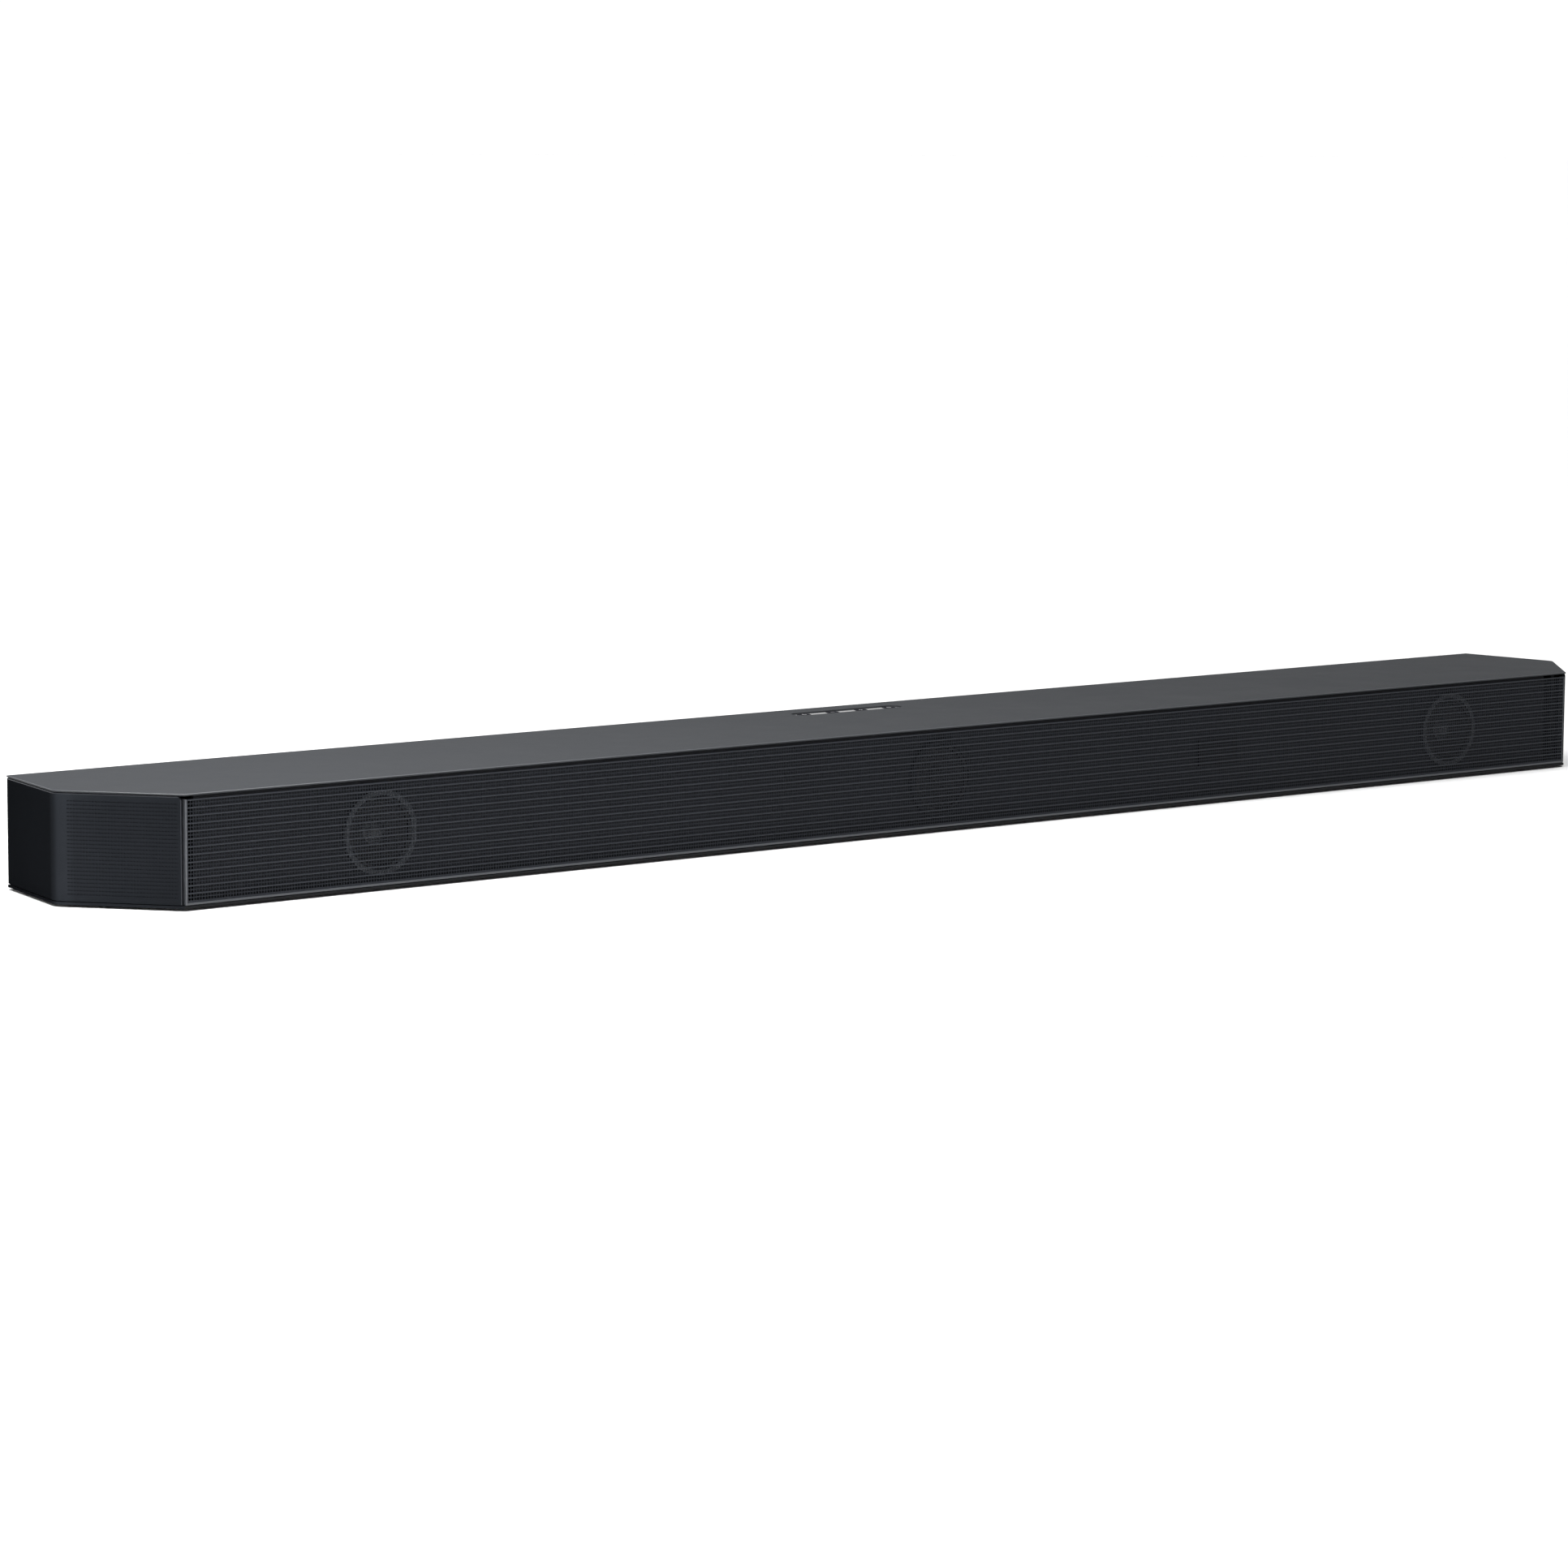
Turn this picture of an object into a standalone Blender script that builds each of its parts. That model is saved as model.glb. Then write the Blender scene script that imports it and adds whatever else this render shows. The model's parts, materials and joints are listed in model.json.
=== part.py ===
"""Soundbar: a long, low loudspeaker with a square-mesh front, bevelled perforated ends,
four control keys on top, five drivers inside and a connector bay at the back.

Lengths are in millimetres and become metres as each mesh is made. X runs along the length,
the front faces -Y, and Z is up from the surface that the feet stand on.
"""

import math

import bmesh
import bpy
from mathutils import Euler, Vector

MM = 0.001
GAP = 0.3  # clearance between two pieces that rest on each other
WELD = 0.01  # points closer than this become one

# Casing
LENGTH = 1110.7
DEPTH = 120.0
HEIGHT = 60.4
FRONT_LENGTH = 1021.6  # the straight front, between the two end bevels
REAR_LENGTH = 1089.4
BEND_BEHIND_FRONT = 53.4  # where each end is widest
BEND_RADIUS = 8.0
BEND_STEPS = 8
BODY_BOTTOM = 1.2  # underside of the case, just above the feet
TOP_THICKNESS = 1.0
BOTTOM_THICKNESS = 1.5
END_CAP_THICKNESS = 2.0
REAR_THICKNESS = 1.8
EDGE_BEVEL = 0.35
END_CAP_BEVEL = 0.7
BEVEL_ANGLE = math.radians(40)

FRONT_Y = -DEPTH / 2
REAR_Y = DEPTH / 2
TOP_UNDERSIDE = HEIGHT - TOP_THICKNESS
BOTTOM_INSIDE = BODY_BOTTOM + BOTTOM_THICKNESS
WALL_LOW = BOTTOM_INSIDE + GAP
WALL_HIGH = TOP_UNDERSIDE - GAP

# Front grille, a folded sheet
GRILLE_THICKNESS = 0.8
GRILLE_TOP = 57.6  # below it, a shadow gap to the top cover
GRILLE_LIP_DEPTH = 6.0
GRILLE_END_GAP = 0.9  # from the front's corner to the sheet's end
END_CAP_START = 1.6  # from the front's corner to the end cap, along the bevel

# Front baffle, which carries the front drivers
BAFFLE_FRONT_Y = -51.5
BAFFLE_THICKNESS = 2.0
BAFFLE_HALF_LENGTH = 500.0
BAFFLE_HOLE_RADIUS = 21.8
BAFFLE_HOLE_STEPS = 24

# Drivers: (radius, distance in front of the flange's front face), all turned
DRIVER_STEPS = 16
DRIVER_FLANGE_Y = -54.0
DRIVER_HEIGHT = 30.0
DRIVER_FLANGE = 2.2
FRAME_PROFILE = (
    (22.0, 0.0),
    (23.0, 0.0),
    (23.0, -DRIVER_FLANGE),
    (21.2, -DRIVER_FLANGE),
    (16.0, -13.4),
    (11.0, -13.4),
    (11.0, -12.0),
    (14.6, -12.0),
    (19.6, -1.0),
    (22.0, -1.0),
)
SURROUND_PROFILE = (
    (17.4, -0.2),
    (18.8, 0.9),
    (20.1, -0.2),
    (21.9, -0.2),
    (21.9, -0.7),
    (20.1, -0.7),
    (18.8, 0.35),
    (17.4, -0.7),
)
CONE_PROFILE = (
    (0.0, -3.2),
    (4.5, -4.2),
    (7.2, -6.0),
    (17.0, -0.4),
    (17.0, -1.0),
    (7.0, -6.8),
    (7.0, -15.0),
    (6.4, -15.0),
    (6.4, -6.2),
    (4.3, -4.8),
    (0.0, -3.8),
)
MAGNET_PROFILE = (
    (0.0, -12.8),
    (6.0, -12.8),
    (6.0, -19.5),
    (7.5, -19.5),
    (7.5, -13.7),
    (16.0, -13.7),
    (16.0, -24.0),
    (0.0, -24.0),
)
LEFT_SPEAKER_X = -386.0
CENTER_SPEAKER_X = 0.0
RIGHT_SPEAKER_X = 413.0

# Side drivers fire out through the end bevels
SIDE_FLANGE_DEPTH = 4.0  # from the bevel's outer face to the driver's flange
SIDE_BAFFLE_HALF_LENGTH = 30.0
SIDE_BAFFLE_THICKNESS = 2.0

# Closed boxes behind the front drivers
CHAMBER_HALF_LENGTH = 85.0
CHAMBER_BACK_Y = -6.0
CHAMBER_LOW = 6.0
CHAMBER_HIGH = 56.0
CHAMBER_WALL = 2.0

# Control keys in a sunk strip near the rear edge of the top
KEY_NAMES = ("power", "volume_down", "volume_up", "source")
KEY_PITCH = 21.3
KEY_CENTER_X = 5.0
KEY_Y = 39.0
KEY_STEPS = 20
KEY_RADIUS = 3.9
KEY_HOLE_RADIUS = 4.3
KEY_PROFILE = (
    (0.0, 60.0),
    (3.2, 60.1),
    (KEY_RADIUS, 59.8),
    (KEY_RADIUS, 58.1),
    (4.9, 58.1),
    (4.9, 57.3),
    (1.5, 57.3),
    (1.5, 53.3),
    (0.0, 53.3),
)
STRIP_LENGTH = 80.0
STRIP_WIDTH = 12.0
STRIP_LOW = 58.4
STRIP_HIGH = 59.8
KEY_BOARD_LOW = 50.8
KEY_BOARD_HIGH = 52.4
STRIP_CORNER_STEPS = 10

# Connector bay, a tray let into the rear panel
BAY_HALF_LENGTH = 75.0
BAY_LOW = 10.0
BAY_HIGH = 50.0
BAY_DEPTH = 23.0
BAY_WALL = 1.8
BOARD_TOP = 19.0
BOARD_THICKNESS = 1.6
SOCKET_BACK_Y = 30.0
SOCKET_FRONT_Y = 46.0
# name: centre x, outer width, outer height, hollow width, hollow height, hollow depth
SOCKETS = {
    "hdmi_socket_in": (-52.0, 17.0, 8.2, 14.6, 5.4, 12.0),
    "hdmi_socket_out": (-24.0, 17.0, 8.2, 14.6, 5.4, 12.0),
    "optical_socket": (2.0, 12.0, 12.0, 8.0, 8.0, 9.0),
    "ac_inlet": (44.0, 26.0, 18.0, 19.0, 11.0, 12.0),
}

# Boards that lie at the sockets' level: low corner x, y and high corner x, y
LYING_BOARDS = {
    "main_board": (-150.0, -3.0, 90.0, 36.5),
    "power_board": (130.0, 4.0, 300.0, 52.0),
    "wireless_module": (-330.0, 10.0, -285.0, 38.0),
}
# The remote control's receiver stands behind the grille
RECEIVER_LOW = (200.0, -54.5, 22.0)
RECEIVER_HIGH = (232.0, -53.0, 38.0)

# Heat sink on the main board
SINK_LOW_X = -140.0
SINK_HIGH_X = -100.0
SINK_Y = 15.0
SINK_DEPTH = 28.0
SINK_BASE = 3.0
SINK_HEIGHT = 17.0
FIN_COUNT = 6
FIN_THICKNESS = 2.0

# Feet and the screws that close the case from below
FOOT_LENGTH = 34.0
FOOT_WIDTH = 12.0
FOOT_X = 430.0
FOOT_FRONT_Y = -42.0
FOOT_REAR_Y = 44.0
SCREW_XS = (-470.0, -240.0, 240.0, 470.0)
SCREW_REAR_XS = (-150.0, 150.0)
SCREW_FRONT_Y = -1.0
SCREW_REAR_Y = 50.0
SCREW_HOLE_RADIUS = 3.0
SCREW_STEPS = 12
SCREW_HEAD_LOW = BODY_BOTTOM + GAP
SCREW_HEAD_HIGH = SCREW_HEAD_LOW + 1.3
SCREW_PROFILE = (
    (0.0, 14.0),
    (1.4, 13.0),
    (1.4, SCREW_HEAD_HIGH),
    (2.6, SCREW_HEAD_HIGH),
    (2.6, SCREW_HEAD_LOW),
    (0.0, SCREW_HEAD_LOW),
)

# name: colour, roughness, metallic
FINISHES = {
    "top_paint": ((0.13, 0.135, 0.145), 0.5, 0.1),
    "grille_paint": ((0.06, 0.063, 0.07), 0.5, 0.3),
    "end_paint": ((0.03, 0.032, 0.036), 0.42, 0.0),
    "case_plastic": ((0.02, 0.021, 0.023), 0.55, 0.0),
    "key_plastic": ((0.012, 0.012, 0.014), 0.35, 0.0),
    "baffle_plastic": ((0.015, 0.015, 0.016), 0.7, 0.0),
    "frame_metal": ((0.32, 0.33, 0.35), 0.4, 0.8),
    "surround_rubber": ((0.03, 0.03, 0.032), 0.7, 0.0),
    "cone_paper": ((0.05, 0.05, 0.053), 0.8, 0.0),
    "magnet_steel": ((0.35, 0.35, 0.36), 0.35, 1.0),
    "board_green": ((0.02, 0.12, 0.05), 0.5, 0.0),
    "sink_aluminium": ((0.7, 0.7, 0.72), 0.35, 1.0),
    "socket_steel": ((0.55, 0.55, 0.57), 0.3, 1.0),
    "socket_plastic": ((0.02, 0.02, 0.02), 0.5, 0.0),
    "foot_rubber": ((0.025, 0.025, 0.025), 0.9, 0.0),
    "screw_steel": ((0.2, 0.2, 0.21), 0.35, 1.0),
}

FACING_FRONT = Euler((math.pi / 2, 0, 0))  # local X along the length, local Y up
FACING_END = Euler((math.pi / 2, 0, math.pi / 2))  # local X to the back, local Y up
LYING = Euler((0, 0, 0))


def clear_scene():
    for obj in list(bpy.data.objects):
        bpy.data.objects.remove(obj)


def new_collection(name):
    made = bpy.data.collections.new(name)
    bpy.context.scene.collection.children.link(made)
    return made


def new_material(name):
    colour, roughness, metallic = FINISHES[name]
    made = bpy.data.materials.new(name)
    made.use_nodes = True
    shader = made.node_tree.nodes["Principled BSDF"]
    shader.inputs["Base Color"].default_value = (*colour, 1.0)
    shader.inputs["Roughness"].default_value = roughness
    shader.inputs["Metallic"].default_value = metallic
    return made


def place(name, mesh, finish, location=(0, 0, 0), rotation=LYING):
    """Puts a mesh in the scene as one piece with a material of its own; location is in mm."""
    piece = bpy.data.objects.new(name, mesh)
    piece.location = Vector(location) * MM
    piece.rotation_euler = rotation
    mesh.materials.append(new_material(finish))
    parts.objects.link(piece)
    return piece


def mesh_from(work, name):
    made = bpy.data.meshes.new(name)
    work.to_mesh(made)
    work.free()
    return made


def box_mesh(name, size):
    work = bmesh.new()
    bmesh.ops.create_cube(work, size=1.0)
    bmesh.ops.scale(work, vec=Vector(size) * MM, verts=work.verts)
    return mesh_from(work, name)


def box(name, low, high, finish):
    low, high = Vector(low), Vector(high)
    return place(name, box_mesh(name, high - low), finish, (low + high) / 2)


def cut_box(target, low, high):
    """Cuts a box-shaped hole or hollow from a piece."""
    low, high = Vector(low), Vector(high)
    cutter = bpy.data.objects.new(target.name + "_cutter", box_mesh("cutter", high - low))
    cutter.location = (low + high) / 2 * MM
    cutter.hide_render = True
    cutter.display_type = "WIRE"
    cutters.objects.link(cutter)
    cut = target.modifiers.new("cut", "BOOLEAN")
    cut.operation = "DIFFERENCE"
    cut.solver = "EXACT"
    cut.object = cutter


def plate(name, outlines, thickness, finish, location, rotation=LYING):
    """A flat piece of even thickness, centred on its location. Inner outlines are holes."""
    curve = bpy.data.curves.new(name, "CURVE")
    curve.dimensions = "2D"
    curve.fill_mode = "BOTH"
    curve.extrude = thickness / 2 * MM
    for outline in outlines:
        spline = curve.splines.new("POLY")
        spline.points.add(len(outline) - 1)
        for point, (x, y) in zip(spline.points, outline):
            point.co = (x * MM, y * MM, 0, 1)
        spline.use_cyclic_u = True
    guide = bpy.data.objects.new(name + "_outline", curve)
    bpy.context.scene.collection.objects.link(guide)
    graph = bpy.context.evaluated_depsgraph_get()
    mesh = bpy.data.meshes.new_from_object(guide.evaluated_get(graph))
    bpy.data.objects.remove(guide)
    work = bmesh.new()
    work.from_mesh(mesh)
    bmesh.ops.remove_doubles(work, verts=work.verts, dist=WELD * MM)
    work.to_mesh(mesh)
    work.free()
    mesh.name = name
    mesh.materials.clear()
    return place(name, mesh, finish, location, rotation)


def turned(name, profile, steps, finish, location=(0, 0, 0), rotation=LYING):
    """A turned piece. Its profile runs down the outer side; off the axis, it closes on itself."""
    work = bmesh.new()
    points = [work.verts.new((radius * MM, 0, height * MM)) for radius, height in profile]
    for first, second in zip(points, points[1:]):
        work.edges.new((first, second))
    if profile[0][0] > 0:
        work.edges.new((points[-1], points[0]))
    piece = place(name, mesh_from(work, name), finish, location, rotation)
    screw = piece.modifiers.new("turn", "SCREW")
    screw.steps = steps
    screw.render_steps = steps
    screw.use_merge_vertices = True
    screw.merge_threshold = WELD * MM
    return piece


def bevel(piece, width):
    edges = piece.modifiers.new("edges", "BEVEL")
    edges.width = width * MM
    edges.segments = 2
    edges.limit_method = "ANGLE"
    edges.angle_limit = BEVEL_ANGLE


def solidify(piece, thickness):
    """Thickens an open surface towards its inside."""
    wall = piece.modifiers.new("wall", "SOLIDIFY")
    wall.thickness = thickness * MM
    wall.offset = -1
    wall.use_even_offset = True


def circle(center_x, center_y, radius, steps):
    turns = [2 * math.pi * step / steps for step in range(steps)]
    return [(center_x + radius * math.cos(a), center_y + radius * math.sin(a)) for a in turns]


def rectangle(low_x, low_y, high_x, high_y):
    return [(low_x, low_y), (high_x, low_y), (high_x, high_y), (low_x, high_y)]


def racetrack(center_x, center_y, length, width, steps):
    """A long outline with half-round ends."""
    radius = width / 2
    reach = length / 2 - radius
    points = []
    for side, start in ((1, -math.pi / 2), (-1, math.pi / 2)):
        for step in range(steps + 1):
            angle = start + math.pi * step / steps
            x = center_x + side * reach + radius * math.cos(angle)
            points.append((x, center_y + radius * math.sin(angle)))
    return points


def bend(before, corner, after, radius, steps):
    """Points of an arc that rounds the corner between two straight runs."""
    corner = Vector(corner)
    arriving = (corner - Vector(before)).normalized()
    leaving = (Vector(after) - corner).normalized()
    turn = arriving.angle_signed(leaving)
    side = math.copysign(1, turn)
    start = corner - arriving * radius * math.tan(abs(turn) / 2)
    inward = Vector((arriving.y, -arriving.x)) * side
    center = start + inward * radius
    first = math.atan2(-inward.y, -inward.x)
    angles = [first - turn * step / steps for step in range(steps + 1)]
    return [(center.x + radius * math.cos(a), center.y + radius * math.sin(a)) for a in angles]


def left_end():
    """The left end seen from above: the front's corner, the rounded bend and the rear corner."""
    front = (-FRONT_LENGTH / 2, FRONT_Y)
    rear = (-REAR_LENGTH / 2, REAR_Y)
    widest = (-LENGTH / 2, FRONT_Y + BEND_BEHIND_FRONT)
    arc = bend(front, widest, rear, BEND_RADIUS, BEND_STEPS)
    # Rounding draws the bend in, so its corner moves out until the arc reaches the full length.
    drawn_in = min(x for x, _ in arc) - widest[0]
    widest = (widest[0] - drawn_in, widest[1])
    return [front, *bend(front, widest, rear, BEND_RADIUS, BEND_STEPS), rear]


def mirrored(points):
    return [(-x, y) for x, y in reversed(points)]


def make_covers():
    end = left_end()
    outline = [*end, *mirrored(end)]
    strip = racetrack(KEY_CENTER_X, KEY_Y, STRIP_LENGTH, STRIP_WIDTH, STRIP_CORNER_STEPS)
    middle = (0, 0, HEIGHT - TOP_THICKNESS / 2)
    top = plate("top_cover", [outline, strip], TOP_THICKNESS, "top_paint", middle)
    bevel(top, EDGE_BEVEL)
    screws = [circle(x, y, SCREW_HOLE_RADIUS, SCREW_STEPS) for x, y in screw_places()]
    middle = (0, 0, BODY_BOTTOM + BOTTOM_THICKNESS / 2)
    plate("bottom_plate", [outline, *screws], BOTTOM_THICKNESS, "case_plastic", middle)


def make_end_caps():
    front, *arc, rear = left_end()
    along = (Vector(arc[0]) - Vector(front)).normalized()
    start = Vector(front) + along * END_CAP_START
    path = [tuple(start), *arc, rear]
    for name, line in (("end_cap_left", path), ("end_cap_right", mirrored(path))):
        work = bmesh.new()
        lower = [work.verts.new((x * MM, y * MM, WALL_LOW * MM)) for x, y in line]
        edges = [work.edges.new(pair) for pair in zip(lower, lower[1:])]
        raised = bmesh.ops.extrude_edge_only(work, edges=edges)["geom"]
        upper = [item for item in raised if isinstance(item, bmesh.types.BMVert)]
        bmesh.ops.translate(work, vec=(0, 0, (WALL_HIGH - WALL_LOW) * MM), verts=upper)
        bmesh.ops.recalc_face_normals(work, faces=work.faces)
        work.faces.ensure_lookup_table()
        outward = work.faces[0].normal.dot(work.faces[0].calc_center_median()) > 0
        if not outward:
            bmesh.ops.reverse_faces(work, faces=work.faces)
        cap = place(name, mesh_from(work, name), "end_paint")
        solidify(cap, END_CAP_THICKNESS)
        bevel(cap, END_CAP_BEVEL)


def make_front_grille():
    back_y = FRONT_Y + GRILLE_THICKNESS
    section = [
        (FRONT_Y, WALL_LOW),
        (FRONT_Y + GRILLE_LIP_DEPTH, WALL_LOW),
        (FRONT_Y + GRILLE_LIP_DEPTH, WALL_LOW + GRILLE_THICKNESS),
        (back_y, WALL_LOW + GRILLE_THICKNESS),
        (back_y, GRILLE_TOP),
        (FRONT_Y, GRILLE_TOP),
    ]
    length = FRONT_LENGTH - 2 * GRILLE_END_GAP
    plate("front_grille", [section], length, "grille_paint", (0, 0, 0), FACING_END)


def make_front_baffle():
    outline = rectangle(-BAFFLE_HALF_LENGTH, WALL_LOW, BAFFLE_HALF_LENGTH, WALL_HIGH)
    speakers = (LEFT_SPEAKER_X, CENTER_SPEAKER_X, RIGHT_SPEAKER_X)
    holes = [circle(x, DRIVER_HEIGHT, BAFFLE_HOLE_RADIUS, BAFFLE_HOLE_STEPS) for x in speakers]
    middle = (0, BAFFLE_FRONT_Y + BAFFLE_THICKNESS / 2, 0)
    plate("front_baffle", [outline, *holes], BAFFLE_THICKNESS, "baffle_plastic", middle, FACING_FRONT)


def make_driver(name, center, turn):
    """A whole driver, whose cone moves along its axis. turn is about Z, from facing the front."""
    pose = Euler((math.pi / 2, 0, turn))
    pieces = (
        ("frame", FRAME_PROFILE, "frame_metal"),
        ("surround", SURROUND_PROFILE, "surround_rubber"),
        ("cone", CONE_PROFILE, "cone_paper"),
        ("magnet", MAGNET_PROFILE, "magnet_steel"),
    )
    for piece, profile, finish in pieces:
        turned(f"{name}_{piece}", profile, DRIVER_STEPS, finish, center, pose)


def make_front_drivers():
    places = {
        "left_speaker": LEFT_SPEAKER_X,
        "center_speaker": CENTER_SPEAKER_X,
        "right_speaker": RIGHT_SPEAKER_X,
    }
    for name, x in places.items():
        make_driver(name, (x, DRIVER_FLANGE_Y, DRIVER_HEIGHT), 0)
        make_chamber(name.replace("speaker", "chamber"), x)


def make_chamber(name, center_x):
    """A box that is open where it meets the back of the baffle."""
    front_y = BAFFLE_FRONT_Y + BAFFLE_THICKNESS + GAP
    size = (2 * CHAMBER_HALF_LENGTH, CHAMBER_BACK_Y - front_y, CHAMBER_HIGH - CHAMBER_LOW)
    work = bmesh.new()
    bmesh.ops.create_cube(work, size=1.0)
    bmesh.ops.scale(work, vec=Vector(size) * MM, verts=work.verts)
    open_side = [face for face in work.faces if face.normal.y < -0.5]
    bmesh.ops.delete(work, geom=open_side, context="FACES_ONLY")
    middle = (center_x, (CHAMBER_BACK_Y + front_y) / 2, (CHAMBER_HIGH + CHAMBER_LOW) / 2)
    chamber = place(name, mesh_from(work, name), "baffle_plastic", middle)
    solidify(chamber, CHAMBER_WALL)


def make_side_drivers():
    front, widest = (Vector(point) for point in left_end()[:2])
    along = (widest - front).normalized()
    outward = Vector((-along.y, along.x))
    middle = (front + Vector((-LENGTH / 2, FRONT_Y + BEND_BEHIND_FRONT))) / 2
    flange = middle - outward * SIDE_FLANGE_DEPTH
    baffle_depth = SIDE_FLANGE_DEPTH + DRIVER_FLANGE + GAP + SIDE_BAFFLE_THICKNESS / 2
    baffle = middle - outward * baffle_depth
    turn = math.atan2(outward.x, -outward.y)
    outline = rectangle(-SIDE_BAFFLE_HALF_LENGTH, WALL_LOW, SIDE_BAFFLE_HALF_LENGTH, WALL_HIGH)
    hole = circle(0, DRIVER_HEIGHT, BAFFLE_HOLE_RADIUS, BAFFLE_HOLE_STEPS)
    for name, side in (("left_side", 1), ("right_side", -1)):
        center = (side * flange.x, flange.y, DRIVER_HEIGHT)
        make_driver(f"{name}_speaker", center, side * turn)
        pose = Euler((math.pi / 2, 0, side * turn))
        place_of = (side * baffle.x, baffle.y, 0)
        plate(f"{name}_baffle", [outline, hole], SIDE_BAFFLE_THICKNESS, "baffle_plastic", place_of, pose)


def make_keys():
    strip = racetrack(0, 0, STRIP_LENGTH - 2 * GAP, STRIP_WIDTH - 2 * GAP, STRIP_CORNER_STEPS)
    middle_key = (len(KEY_NAMES) - 1) / 2
    offsets = [(index - middle_key) * KEY_PITCH for index in range(len(KEY_NAMES))]
    holes = [circle(x, 0, KEY_HOLE_RADIUS, KEY_STEPS) for x in offsets]
    middle = (KEY_CENTER_X, KEY_Y, (STRIP_LOW + STRIP_HIGH) / 2)
    plate("key_strip", [strip, *holes], STRIP_HIGH - STRIP_LOW, "case_plastic", middle)
    for key, x in zip(KEY_NAMES, offsets):
        turned(f"key_{key}", KEY_PROFILE, KEY_STEPS, "key_plastic", (KEY_CENTER_X + x, KEY_Y, 0))
    half = STRIP_LENGTH / 2
    low = (KEY_CENTER_X - half, KEY_Y - STRIP_WIDTH / 2, KEY_BOARD_LOW)
    high = (KEY_CENTER_X + half, KEY_Y + STRIP_WIDTH / 2, KEY_BOARD_HIGH)
    box("key_board", low, high, "board_green")


def make_rear_panel():
    half = REAR_LENGTH / 2 - END_CAP_THICKNESS - 2 * GAP
    outline = rectangle(-half, WALL_LOW, half, WALL_HIGH)
    reach = BAY_HALF_LENGTH + GAP
    hole = rectangle(-reach, BAY_LOW - GAP, reach, BAY_HIGH + GAP)
    middle = (0, REAR_Y - REAR_THICKNESS / 2, 0)
    plate("rear_panel", [outline, hole], REAR_THICKNESS, "case_plastic", middle, FACING_FRONT)


def make_connector_bay():
    inner_y = REAR_Y - BAY_DEPTH
    low = (-BAY_HALF_LENGTH, inner_y, BAY_LOW)
    high = (BAY_HALF_LENGTH, REAR_Y, BAY_HIGH)
    bay = box("connector_bay", low, high, "case_plastic")
    wall = Vector((BAY_WALL, BAY_WALL, BAY_WALL))
    past_rear = Vector((-BAY_WALL, BAY_WALL, -BAY_WALL))
    cut_box(bay, Vector(low) + wall, Vector(high) + past_rear)
    for x, width, height, *_ in SOCKETS.values():
        reach = width / 2 + GAP
        low = (x - reach, SOCKET_BACK_Y, BOARD_TOP)
        high = (x + reach, SOCKET_FRONT_Y, BOARD_TOP + height + 2 * GAP)
        cut_box(bay, low, high)


def make_sockets():
    for name, (x, width, height, hollow_width, hollow_height, hollow_depth) in SOCKETS.items():
        bottom = BOARD_TOP + GAP
        low = (x - width / 2, SOCKET_BACK_Y, bottom)
        high = (x + width / 2, SOCKET_FRONT_Y, bottom + height)
        finish = "socket_steel" if name.startswith("hdmi") else "socket_plastic"
        socket = box(name, low, high, finish)
        middle_z = bottom + height / 2
        low = (x - hollow_width / 2, SOCKET_FRONT_Y - hollow_depth, middle_z - hollow_height / 2)
        high = (x + hollow_width / 2, SOCKET_FRONT_Y + BAY_WALL, middle_z + hollow_height / 2)
        cut_box(socket, low, high)


def make_boards():
    low_z = BOARD_TOP - BOARD_THICKNESS
    for name, (low_x, low_y, high_x, high_y) in LYING_BOARDS.items():
        box(name, (low_x, low_y, low_z), (high_x, high_y, BOARD_TOP), "board_green")
    box("receiver_board", RECEIVER_LOW, RECEIVER_HIGH, "board_green")


def make_heat_sink():
    """A finned block: its section is a comb, drawn out to the back."""
    bottom = BOARD_TOP + GAP
    pitch = (SINK_HIGH_X - SINK_LOW_X - FIN_THICKNESS) / (FIN_COUNT - 1)
    outline = [(SINK_HIGH_X, bottom), (SINK_LOW_X, bottom)]
    for index in range(FIN_COUNT):
        left = SINK_LOW_X + index * pitch
        right = left + FIN_THICKNESS
        if index > 0:
            outline.append((left, bottom + SINK_BASE))
        outline += [(left, bottom + SINK_HEIGHT), (right, bottom + SINK_HEIGHT)]
        if index < FIN_COUNT - 1:
            outline.append((right, bottom + SINK_BASE))
    plate("heat_sink", [outline], SINK_DEPTH, "sink_aluminium", (0, SINK_Y, 0), FACING_FRONT)


def screw_places():
    front = [(x, SCREW_FRONT_Y) for x in SCREW_XS]
    return front + [(x, SCREW_REAR_Y) for x in SCREW_REAR_XS]


def make_feet_and_screws():
    for row, y in (("front", FOOT_FRONT_Y), ("rear", FOOT_REAR_Y)):
        for side, x in (("left", -FOOT_X), ("right", FOOT_X)):
            outline = racetrack(0, 0, FOOT_LENGTH, FOOT_WIDTH, STRIP_CORNER_STEPS)
            height = BODY_BOTTOM - GAP
            plate(f"foot_{row}_{side}", [outline], height, "foot_rubber", (x, y, height / 2))
    for number, (x, y) in enumerate(screw_places(), start=1):
        turned(f"case_screw_{number}", SCREW_PROFILE, SCREW_STEPS, "screw_steel", (x, y, 0))


clear_scene()
parts = new_collection("soundbar")
cutters = new_collection("cutters")
make_covers()
make_end_caps()
make_front_grille()
make_front_baffle()
make_front_drivers()
make_side_drivers()
make_keys()
make_rear_panel()
make_connector_bay()
make_sockets()
make_boards()
make_heat_sink()
make_feet_and_screws()
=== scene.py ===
"""A soundbar's finish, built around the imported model: perforated front and end sheets, drivers
behind them, moulded plastic, rubber and steel, a pale floor and soft studio light.

Lengths are in metres; MM turns a millimetre into metres.
"""

import json
import math

import bmesh
import bpy
import numpy as np
from mathutils import Euler, Matrix, Vector

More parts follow.
